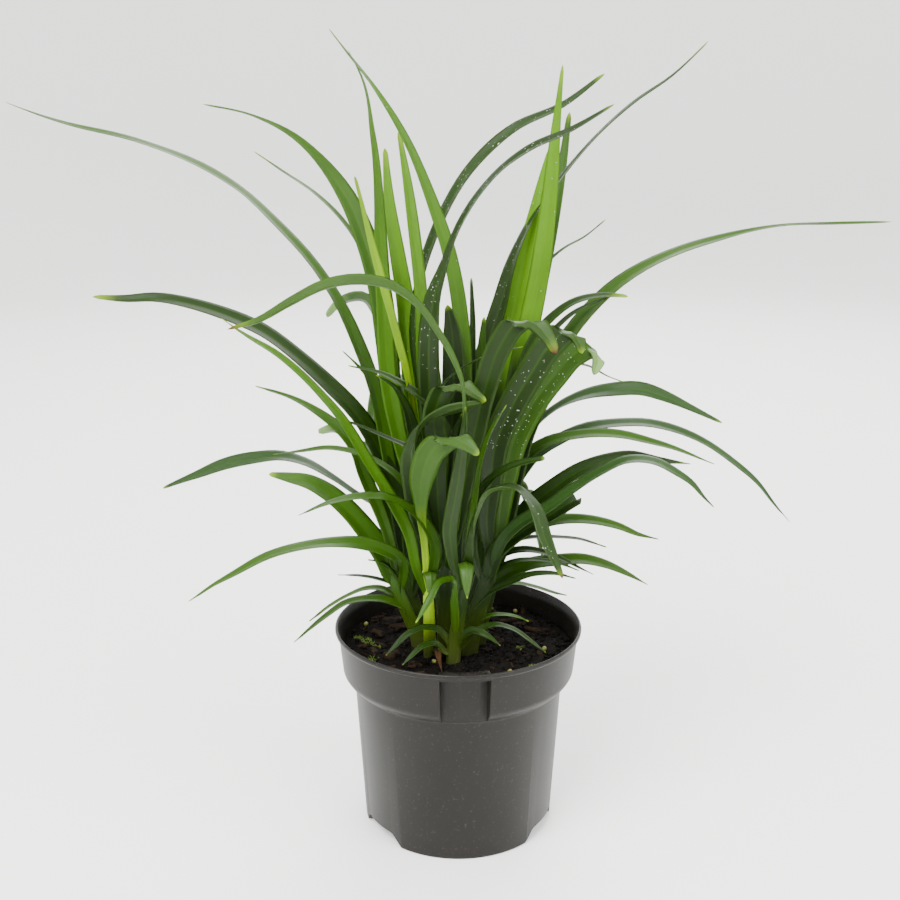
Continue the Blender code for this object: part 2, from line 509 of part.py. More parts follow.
def soil_height(x, y):
    """Uneven top of the mix, level among the stems and along the wall."""
    radius = math.hypot(x, y)
    rising = (radius - SOIL_RINGS[-2]) / (SOIL_RINGS[-3] - SOIL_RINGS[-2])
    falling = (COLLAR_LOW_RADIUS - radius) / 6.0
    fade = min(1.0, max(0.0, rising)) * min(1.0, max(0.0, falling))
    waves = math.sin(x * 0.13 + 1.0) + math.sin(y * 0.17 + x * 0.05) + math.sin((x - y) * 0.09 + 2.0)
    return SOIL_TOP + SOIL_RELIEF * fade * waves / 3


def build_soil(parts):
    """The mix fills the pot, keeps clear of its wall and recess, and has a plain hole for each stem."""
    cutters = collection("soil_cutters")
    inside = pot_inside()
    slope = (inside[-1][0] - inside[-2][0]) / (inside[-1][1] - inside[-2][1])
    top_radius = inside[-2][0] + slope * (SOIL_TOP - inside[-2][1]) - CLEARANCE
    wall = [(radius - CLEARANCE, height) for radius, height in inside[:-1]]
    wall[0] = (wall[0][0], BASE_PLATE_TOP + CLEARANCE)
    rings = [(radius, SOIL_TOP) for radius in SOIL_RINGS]
    profile = [(0.0, BASE_PLATE_TOP + CLEARANCE)] + wall + [(top_radius, SOIL_TOP)] + rings
    soil = turned("potting_mix", profile[::-1], SOIL_STEPS, parts)
    apply_modifiers(soil)
    for vert in soil.data.vertices:
        x, y, z = vert.co / MM
        if z > SOIL_TOP - 0.01:
            vert.co.z = soil_height(x, y) * MM

    recess = sector_block("recess_clearance", recess_angles(PANEL_WALL + CLEARANCE),
                          (PANEL_RADIUS - PANEL_WALL - CLEARANCE, LIP_RADIUS),
                          (RECESS_LOW, POT_HEIGHT), cutters)
    boolean(soil, "DIFFERENCE", recess)
    for shoot in SHOOTS:
        size = (shoot.width + 2 * CLEARANCE, STEM_THICKNESS + 2 * CLEARANCE)
        rings = [section(shoot.base, height, size) for height in
                 (SOIL_TOP - ROOT_DEPTH - CLEARANCE, SOIL_TOP + 5.0)]
        hole = loft(f"hole_{shoot.name}", rings, cutters)
        boolean(soil, "DIFFERENCE", hole)
    soil.data.materials.clear()
    soil.data.materials.append(material("dark bark and peat mix", (0.020, 0.015, 0.011), 0.95))
    bpy.data.collections.remove(cutters)
    return soil


def section(centre, height, size):
    """An oval ring round a stem at one height."""
    ring = []
    for step in range(STEM_SIDES):
        angle = 2 * math.pi * step / STEM_SIDES
        ring.append((centre[0] + size[0] / 2 * math.cos(angle), centre[1] + size[1] / 2 * math.sin(angle),
                     height))
    return ring


def loft(name, rings, group):
    """A closed skin through rings of equal point counts."""
    bm = bmesh.new()
    loops = [[bm.verts.new(np.array(point) * MM) for point in ring] for ring in rings]
    count = len(loops[0])
    for low, high in zip(loops, loops[1:]):
        for step in range(count):
            after = (step + 1) % count
            bm.faces.new((low[step], low[after], high[after], high[step]))
    bm.faces.new(loops[0][::-1])
    bm.faces.new(loops[-1])
    return add_object(name, mesh_from(bm, name), group)


def seen(x, z, y):
    """Slide a point of the plane y = 0 along its line of sight to the depth y."""
    on_plane = np.array([x, 0.0, z])
    return EYE + (on_plane - EYE) * (y - EYE[1]) / -EYE[1]


def unseen(point):
    """Where a point is seen against the plane y = 0."""
    point = np.array(point, dtype=float)
    on_plane = EYE + (point - EYE) * -EYE[1] / (point[1] - EYE[1])
    return on_plane[0], on_plane[2]


def smooth_path(points, fractions):
    """Points of a smooth curve through the given ones, at fractions of its length."""
    points = np.array(points, dtype=float)
    chords = np.linalg.norm(np.diff(points, axis=0), axis=1)
    knots = np.concatenate([[0.0], np.cumsum(chords)])
    slopes = np.diff(points, axis=0) / chords[:, None]
    tangents = np.empty_like(points)
    tangents[0], tangents[-1] = slopes[0], slopes[-1]
    before, after = chords[:-1, None], chords[1:, None]
    tangents[1:-1] = (slopes[:-1] * after + slopes[1:] * before) / (before + after)
    where = np.array(fractions) * knots[-1]
    index = np.clip(np.searchsorted(knots, where, side="right") - 1, 0, len(chords) - 1)
    span = chords[index][:, None]
    t = ((where - knots[index]) / chords[index])[:, None]
    return (points[index] * (2 * t**3 - 3 * t**2 + 1) + tangents[index] * span * (t**3 - 2 * t**2 + t)
            + points[index + 1] * (3 * t**2 - 2 * t**3) + tangents[index + 1] * span * (t**3 - t**2))


def smooth_values(values, fractions):
    """Values along a smooth curve that eases where they change fast."""
    steps = np.linspace(0.0, 1.0, len(values))
    return smooth_path(np.column_stack([steps, values]), fractions)[:, 1]


def even_values(values, fractions):
    """Values given at even steps, read smoothly at fractions of the whole."""
    values = np.array(values, dtype=float)
    where = np.array(fractions, dtype=float) * (len(values) - 1)
    index = np.minimum(where.astype(int), len(values) - 2)
    slopes = np.gradient(values)
    t = where - index
    return (values[index] * (2 * t**3 - 3 * t**2 + 1) + slopes[index] * (t**3 - 2 * t**2 + t)
            + values[index + 1] * (3 * t**2 - 2 * t**3) + slopes[index + 1] * (t**3 - t**2))


def stem_rings(shoot):
    """Rings of the stem: straight down in the mix, then along its seen path to a narrow top."""
    x, y = shoot.base
    size = (shoot.width, STEM_THICKNESS)
    rings = [section((x, y), SOIL_TOP - ROOT_DEPTH, size), section((x, y), SOIL_TOP + 3.5, size)]
    count = len(shoot.stem)
    for index, (seen_x, seen_z) in enumerate(shoot.stem[1:], start=2):
        part = index / count
        point = seen(seen_x, seen_z, y + (shoot.depth - y) * part)
        narrow = 1.0 - 0.35 * part**2
        rings.append(section(point[:2], point[2], (size[0] * narrow, size[1] * narrow)))
    return rings


def leaf_root(shoot, first, order):
    """The point on the stem's axis that a leaf grows from, and its side of the fan."""
    rings = stem_rings(shoot)
    axis = [np.mean(ring, axis=0) for ring in rings[1:]]
    low, high = axis[0][2], axis[-1][2]
    aim = seen(first[0], first[1], shoot.depth)
    height = min(max(aim[2] - 24.0, low + 1.0), high - 8.0)
    xs, ys, zs = np.array(axis).T
    x = float(np.interp(height, zs, xs))
    y = float(np.interp(height, zs, ys))
    side = max(-1.0, min(1.0, (aim[0] - x) / 12.0))
    layer = LAYER_STEP * (len(shoot.leaves) / 2 - order)
    return np.array([x + side * shoot.width * 0.18, y + layer, height])


def folds_over(leaf):
    """A leaf whose last turn is past 150 folds over toward the eye where its path bends most."""
    return isinstance(leaf, Leaf) and leaf.turn[-1] > 150


def leaf_track(shoot, leaf):
    """Close points along a leaf's keel, and the share of its length where it folds over."""
    root = leaf_root(shoot, leaf.path[0], shoot.leaves.index(leaf))
    fine = np.linspace(0.0, 1.0, 101)
    track = smooth_path([unseen(root)] + list(leaf.path), fine)
    depths = smooth_values((root[1], *leaf.depth), fine)
    bend = len(fine) - 1
    if folds_over(leaf):
        steps = np.diff(track, axis=0)
        headings = np.unwrap(np.arctan2(steps[:, 1], steps[:, 0]))
        swings = np.abs(headings[50:] - headings[40:-10])
        bend = 46 + int(np.argmax(swings))
        depths = depths - FOLD_STEP * np.clip((fine - fine[bend]) / 0.02 + 0.5, 0.0, 1.0)
    solid = np.array([seen(x, z, y) for (x, z), y in zip(track, depths)])
    lengths = np.concatenate([[0.0], np.cumsum(np.linalg.norm(np.diff(solid, axis=0), axis=1))])
    return solid, lengths[bend] / lengths[-1]


def leaf_midrib(shoot, leaf, fractions):
    """Points along the leaf's keel from its root in the stem to its tip."""
    order = shoot.leaves.index(leaf)
    if isinstance(leaf, Arch):
        top_of_stem = unseen(np.mean(stem_rings(shoot)[-1], axis=0))
        root = leaf_root(shoot, (top_of_stem[0], top_of_stem[1] + 20.0), order)
        turn = math.radians(leaf.heading)
        away = np.array([math.sin(turn), math.cos(turn), 0.0]) * leaf.reach
        up = np.array([0.0, 0.0, 1.0])
        points = [
            root,
            root + away * 0.07 + up * (leaf.top - root[2]) * 0.45,
            root + away * 0.28 + up * (leaf.top - root[2]) * 0.90,
            root + away * 0.62 + up * (leaf.top - root[2]) * 0.97,
            root + away + up * (leaf.tip - root[2]),
        ]
        return smooth_path(points, fractions)
    return smooth_path(leaf_track(shoot, leaf)[0], fractions)


def leaf_width(leaf, part):
    """Width at a share of the length: as listed at even steps, or half as wide in the sheath and widest
    before the middle, then a long point."""
    if isinstance(leaf.width, tuple):
        return max(TIP_WIDTH, float(even_values(leaf.width, [part])[0]))
    opening = 0.45 + 0.55 * min(1.0, part / 0.35)
    taper = 1.0 - max(0.0, (part - 0.45) / 0.55) ** 2.4
    return max(TIP_WIDTH, leaf.width * opening * taper)


def unit(vector):
    return vector / np.linalg.norm(vector)


def leaf_frames(shoot, leaf, spine, fractions):
    """Across and face directions at each spine point."""
    headings = np.gradient(spine, axis=0)
    frames = []
    if isinstance(leaf, Arch):
        turn = math.radians(leaf.heading)
        level = np.array([math.cos(turn), -math.sin(turn), 0.0])
        level = level if level[0] >= 0 else -level
        for part, heading in zip(fractions, headings):
            blend = min(1.0, part / 0.3)
            across = unit(np.array([1.0, 0.0, 0.0]) * (1 - blend) + level * blend)
            heading = unit(heading)
            across = unit(across - heading * across.dot(heading))
            frames.append((across, np.cross(across, heading)))
        return frames
    turns = even_values((0.0, *leaf.turn), fractions)
    if folds_over(leaf):
        share = leaf_track(shoot, leaf)[1]
        before = even_values((0.0, *leaf.turn[:-1]), np.minimum(1.0, fractions / share))
        turns = np.where(fractions < share, before, leaf.turn[-1])
    leftward = -1.0 if leaf.path[-1][0] < leaf.path[0][0] else 1.0
    for point, heading, turn in zip(spine, headings, np.radians(turns)):
        heading = unit(heading)
        view = unit(point - EYE)
        side = unit(np.cross(heading, view))
        toward = unit(heading * view.dot(heading) - view)
        face = toward * math.cos(turn) + side * leftward * math.sin(turn)
        frames.append((np.cross(heading, face), face))
    if folds_over(leaf):
        length = np.linalg.norm(np.diff(spine, axis=0), axis=1).sum()
        inside = np.flatnonzero(np.abs(fractions - share) < FOLD_REACH / length)
        first, last = frames[inside[0] - 1][0], frames[inside[-1] + 1][0]
        for count, row in enumerate(inside, start=1):
            blend = count / (len(inside) + 1)
            heading = unit(headings[row])
            across = first * (1 - blend) + last * blend
            across = unit(across - heading * across.dot(heading))
            frames[row] = (across, np.cross(across, heading))
    return frames


def build_blade(name, shoot, leaf, group, thickness=BLADE):
    """One strap leaf: a folded strip given its thickness, split alike on both faces."""
    rough = leaf_midrib(shoot, leaf, np.linspace(0.0, 1.0, 31))
    length = np.linalg.norm(np.diff(rough, axis=0), axis=1).sum()
    bends = isinstance(leaf, Leaf) and len(leaf.turn) > 4
    fewest = 9 if bends or folds_over(leaf) else 6 if isinstance(leaf.width, tuple) else 4
    count = int(min(9, max(fewest, round(length / STEP_LENGTH))))
    fractions = np.linspace(0.0, 1.0, count + 1)
    if folds_over(leaf):
        share = leaf_track(shoot, leaf)[1]
        bend = 0.75 * FOLD_REACH / length
        late = [share + bend, (1.0 + share) / 2, 1.0]
        fractions = np.append(np.linspace(0.0, share - bend, count - 2), late)
    spine = leaf_midrib(shoot, leaf, fractions)
    frames = leaf_frames(shoot, leaf, spine, fractions)
    bm = bmesh.new()
    columns = 2 if np.max(leaf.width) >= KEEL_FROM else 1
    bmesh.ops.create_grid(bm, x_segments=columns, y_segments=count, size=1.0)
    for vert in bm.verts:
        row = round((vert.co.y + 1.0) / 2.0 * count)
        column = round(vert.co.x)
        lift = abs(column) if columns == 2 else 0.0
        part = fractions[row]
        across, face = frames[row]
        fold = math.radians(FOLD_AT_ROOT + (FOLD_AT_TIP - FOLD_AT_ROOT) * part)
        half = leaf_width(leaf, part) / 2
        point = spine[row] + across * column * half * math.cos(fold)
        point = point + face * lift * half * math.sin(fold)
        vert.co = point * MM
    bmesh.ops.triangulate(bm, faces=bm.faces, quad_method="FIXED")
    mesh = bpy.data.meshes.new(name)
    bm.to_mesh(mesh)
    bm.free()
    blade = add_object(name, mesh, group)
    skin = blade.modifiers.new("Thickness", "SOLIDIFY")
    skin.thickness = thickness * MM
    skin.offset = 0.0
    return blade


def build_shoot(shoot, parts, green):
    """A fan of leaves round a flattened stem, joined into one solid."""
    stem = loft(shoot.name, stem_rings(shoot), parts)
    blades = collection(f"{shoot.name}_leaves")
    for index, leaf in enumerate(shoot.leaves):
        blade = build_blade(f"{shoot.name}_leaf_{index}", shoot, leaf, blades)
        apply_modifiers(blade)
    boolean(stem, "UNION", blades)
    keep_outer_skin(stem)
    bpy.data.collections.remove(blades)
    stem.data.materials.clear()
    stem.data.materials.append(green)
    return stem


def main():
    clear_scene()
    parts = collection("potted_flax_lily")
    build_pot(parts)
    build_soil(parts)
    green = material("strap leaf", (0.10, 0.27, 0.035), 0.42)
    for shoot in SHOOTS:
        build_shoot(shoot, parts, green)


if __name__ == "__main__":
    main()
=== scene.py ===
"""Potted flax lily: a nursery pot, its potting mix and eleven shoots of strap leaves.

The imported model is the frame: metres, +Z up, the origin on the pot's axis at its foot, and the front
towards -Y. All tables and named sizes below are in millimetres, and MM turns them into metres.
"""

import json
import math
import random
from collections import namedtuple

import bmesh
import bpy
import numpy as np
from mathutils import Euler, Matrix, Vector, noise

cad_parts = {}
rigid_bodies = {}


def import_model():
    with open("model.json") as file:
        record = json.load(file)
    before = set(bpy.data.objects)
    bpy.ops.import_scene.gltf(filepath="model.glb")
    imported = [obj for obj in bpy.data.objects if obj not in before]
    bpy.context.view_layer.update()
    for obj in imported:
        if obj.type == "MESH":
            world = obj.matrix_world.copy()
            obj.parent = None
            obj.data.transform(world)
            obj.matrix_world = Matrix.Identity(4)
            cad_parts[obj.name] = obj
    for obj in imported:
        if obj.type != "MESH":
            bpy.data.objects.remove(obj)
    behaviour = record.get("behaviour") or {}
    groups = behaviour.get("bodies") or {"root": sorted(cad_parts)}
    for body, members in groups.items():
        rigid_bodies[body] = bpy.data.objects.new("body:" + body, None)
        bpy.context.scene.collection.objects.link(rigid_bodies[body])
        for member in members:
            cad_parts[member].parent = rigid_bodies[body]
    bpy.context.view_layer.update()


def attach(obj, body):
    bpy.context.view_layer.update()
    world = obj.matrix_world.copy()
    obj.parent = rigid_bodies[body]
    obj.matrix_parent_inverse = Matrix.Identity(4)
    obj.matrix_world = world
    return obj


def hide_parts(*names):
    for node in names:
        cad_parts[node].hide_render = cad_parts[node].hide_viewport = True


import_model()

bl_info = {
    "name": "Potted flax lily",
    "version": (1, 0, 0),
    "blender": (4, 5, 0),
    "location": "3D View > Sidebar > Flax lily",
    "description": "Builds a potted flax lily piece by piece round its CAD frame",
    "category": "Object",
}

MM = 0.001
# Gap between the mix and the pot, as in the frame
CLEARANCE = 0.3
# Points of a turned body, and of a leaf's skin, that lie closer than this are one
MERGE = 0.001
SKIN_MERGE = 0.0005

# Pot: fixed by the frame
LIP_RADIUS = 75.0
LIP_OUTLINE = ((-2.0, -1.0), (-1.2, 0.0), (-0.4, -0.3), (0.0, -1.2), (-0.2, -2.8))
POT_HEIGHT = 127.0
FOOT_RADIUS = 58.0
FOOT_WIDTH = 2.0
WALL = 1.4
BODY_TOP_RADIUS = 63.5
BODY_TOP = 93.0
COLLAR_FOOT = 95.0
COLLAR_ROUND = 4.0
COLLAR_TOP = 122.5
COLLAR_FOOT_RADIUS = 67.7
COLLAR_LOW_RADIUS = 70.8
COLLAR_TOP_RADIUS = 72.8
COLLAR_SWELL = 0.4
LIP_ROOT = (0.2, 0.9)
BASE_PLATE_TOP = 12.0
BASE_PLATE = 1.6
RECESS_LEFT, RECESS_RIGHT = -11.0, 18.0
RECESS_LOW, RECESS_TOP = 92.0, 122.0
PANEL_RADIUS = 64.4
PANEL_WALL = 1.5
BAR_TOP = 123.4
SLOT_RADIUS = 71.0
SLOT_RIB_X = (0.5, 11.5)
SLOT_RIB_WIDTH = 1.4
NOTCH_ANGLES = (64.0, 124.0, 244.0, 304.0)
NOTCH_HALF_ANGLE = 21.0
NOTCH_LEAN = 8.0
NOTCH_HEIGHT = 8.0
NOTCH_ROUND = 2.4
# How far inside and outside the foot's radius the notches are cut
NOTCH_REACH = (-6.0, 8.0)
DRAIN_RADIUS = 5.0
DRAIN_CIRCLE = 44.0
DRAIN_SIDES = 32
DRAIN_CUT = 8.0
# Facets across the recess. The wall behind it has one more, so that no two facets meet edge on.
RECESS_STEPS = 12
# How far a rib is sunk into the walls that it joins, and how far it reaches below and above the slot's foot
RIB_SINK, RIB_BELOW, RIB_ABOVE = 0.7, 0.6, 1.0
# The slot is open this far above the bar in front of it, and the cutters reach past what they cut
SLOT_OPEN, CUT_PAST = 1.6, 2.0
# The section's corners are rounded from this far away. Edges past the first angle (degrees) get a round
# edge, and those past the second stay sharp in the shading.
PROFILE_ROUND = 1.6
ROUND_FROM, SHARP_FROM = 40, 35

# Potting mix: fixed by the frame
SOIL_TOP = 112.0
SOIL_RELIEF = 1.6
SOIL_FLAT = (34.0, 46.0)
SOIL_EDGE = 6.0
# Heights of the rings of the mix's wall, from its top to its floor
MIX_WALL = (SOIL_TOP - 0.6, SOIL_TOP - 4.0, 104.0, 99.0, 96.0, 93.5, RECESS_LOW, 60.0,
            BASE_PLATE_TOP + CLEARANCE)
# Width and height of the lumps in the mix's top
LUMPS = ((9.0, 1.5), (4.0, 1.0), (2.2, 0.6))
# How far from the axis the crumbs and the loose chips lie, and how far from the wall and the stems
CRUMB_REACH, CRUMB_GAP = 69.0, 1.2
CHIP_REACH, CHIP_GAP = 68.0, 3.0

# Shoots: fixed by the frame
ROOT_DEPTH = 25.0
STEM_THICKNESS = 4.2
LAYER_STEP = 0.3
FOLD_MIDDLE = 13.0
FOLD_SHEATH = 20.0
SHEATH_LENGTH = 0.16
# A tip folds over where its last turn is past FOLDED. It comes this far forward, and the fold takes up
# this much of the keel to each side.
FOLDED = 150
FOLD_STEP = 8.0
FOLD_REACH = 14.0
# A leaf is laid out at so many points. Its fold lies where its path turns most over so many of them, and
# is looked for from the first number on.
TRACK_POINTS = 101
FOLD_FROM, FOLD_SPAN = 40, 10
# Shares of a leaf's length: where its tip closes, and where it opens out of its stem
TIP_LENGTH = 0.012
ROOT_LENGTH = 0.10
# Share of its width that a leaf has where it leaves the stem
NECK = 0.3
# A leaf that is given by its widest alone has this share of it at first, and is fully open from the second
# share of its length. It tapers from the third on, with this power.
OPENING, OPEN_FROM, TAPER_FROM, TAPER_POWER = 0.45, 0.35, 0.45, 2.4
# A leaf leaves the stem this far below the first point that is seen of it, at least so far above the mix
# and at least so far below the stem's top
ROOT_BELOW, ROOT_LOWEST, ROOT_HIGHEST = 24.0, 1.0, 8.0
# It stands off the stem's axis by up to this share of the stem's width, which it reaches when it is aimed
# this far to the side
ROOT_ASIDE, AIM_ASIDE = 0.18, 12.0
# An arch between its root and its tip: shares of its reach and of its height
ARCH_SHAPE = ((0.07, 0.45), (0.28, 0.90), (0.62, 0.97))
# It is aimed this far above the stem's top, and turns from the fan's plane to its own over this share of
# its length
ARCH_AIM, ARCH_TURNING = 20.0, 0.3
# A stem is upright up to this height above the mix. It narrows by this share to its top and closes over
# the next share of its length, down to the last one. Its veins run round a girth of so many widths.
STEM_UPRIGHT = 3.5
STEM_TAPER, STEM_CLOSING, STEM_TOP_SHARE = 0.35, 0.10, 0.25
STEM_GIRTH = 2.2
# Rows along a leaf crowd towards its tip with this power
ROW_CROWDING = 1.35
# Every so many points round the stem lies a groove between two sheaths, this share deep
GROOVE_EVERY, GROOVE = 4, 0.05
# The rounding of the midrib, and how much thinner a blade is at its margin and thicker at its keel
KEEL_ROUND, MARGIN_THINNING, KEEL_THICKNESS = 0.006, 0.6, 2.2
# The foot turns green over this height, and a leaf takes its own green from the second height on, over
# the third
FOOT_GREEN, OWN_GREEN_FROM, OWN_GREEN_OVER = 14.0, 4.0, 34.0
# Painted shade of the clump's inside, which darkens the leaves and stems there: its middle (x, y), how far
# out it reaches and how high, over what height it fades, and how dark it is
CLUMP_MIDDLE = (2.0, 8.0)
CLUMP_RADIUS = 34.0
CLUMP_TOP = 330.0
CLUMP_FADE = 60.0
CLUMP_SHADE = 0.68
# How each kind of tip turns: the colour, from what share of the length, over what share, and how strongly
TIPS = {
    "": (("lime_tip", 0.98, 0.02, 1.0),),
    "lime": (("lime_tip", 0.95, 0.05, 1.0),),
    "brown": (("lime_tip", 0.96, 0.03, 0.5), ("dry_tip", 0.98, 0.015, 1.0)),
    "pale": (("pale_tip", 0.9, 0.05, 1.0),),
    "torn": (),
}
# How far a torn end is set back, from one edge of the leaf to the other, and from what share of its length
TORN_ACROSS = (-1.0, -0.4, 0.1, 0.5, 1.0)
TORN_DEPTH = (3.0, 4.0, 6.5, 2.0, 0.0)
TORN_FROM = 0.85
# Dew lies between these of the even points along a leaf, and so far out to each margin
DEW_POINTS, DEW_FIRST, DEW_LAST, DEW_ACROSS = 61, 24, 56, 0.8
# A drop is flat below this share of its radius, and flattened by the second
DROP_FOOT, DROP_FLATNESS = 0.35, 0.62
# Places across a leaf, from one margin to the other: closest together at the midrib
ACROSS = (-1.0, -0.70, -0.36, -0.13, 0.0, 0.13, 0.36, 0.70, 1.0)
# Once round a blade: the place across, and 1 for its upper face or 0 for its underside
SECTION = [(s, 1) for s in ACROSS] + [(s, 0) for s in ACROSS[-2:0:-1]]
# The eye from which the leaves were placed, and the camera's tilt below the level
EYE = np.array([-5.0, -698.0, 428.0])
CAMERA_TILT = 15.4

# Studio, in metres: the flat floor's radius, the radius of the curve up to its wall, and the wall
FLOOR_RADIUS, FLOOR_CURVE = 2.4, 1.4
WALL_AT, WALL_TOP = 3.8, 2.6
FLOOR_SIDES, CURVE_STEPS = 64, 12
# The floor lies a little below the pot's foot
FLOOR_DROP = 0.0002
WHITE = (1.0, 1.0, 1.0, 1.0)
LIGHT_AIM = (0.0, 0.0, 0.22)
# Place and size of each light
LIGHTS = {"key": ((-0.9, -1.3, 1.9), 1.4), "fill": ((1.4, -1.0, 1.3), 1.6), "back": ((0.3, 1.5, 1.7), 1.6)}

# Each waypoint of a leaf is where it is seen against the upright plane through the pot's axis from the
# eye point, 0.7 m in front of the pot. Its depth then slides it along that line of sight.
# path: (x, z) waypoints from near the root to the tip; depth: y at even steps from the root to the tip;
# width: the widest, or the widths at even steps; turn, at even steps: 0 shows the upper face to the eye,
# 90 the edge and 180 the underside, and a last one past FOLDED is that of a tip that folds over;
# tone: its green; tip: how its tip turns; drops: how many dew drops lie on it.
Leaf = namedtuple("Leaf", "path depth width turn tone tip drops", defaults=("", 0))
# heading: 0 is to the back and 90 is to the right; reach, top and tip_height are the arch's size.
Arch = namedtuple("Arch", "heading reach top tip_height width tone tip drops", defaults=("", 0))
# base: (x, y) where it leaves the mix; stem: (x, z) as seen; depth: y at the stem's top.
Shoot = namedtuple("Shoot", "name base width stem depth leaves")

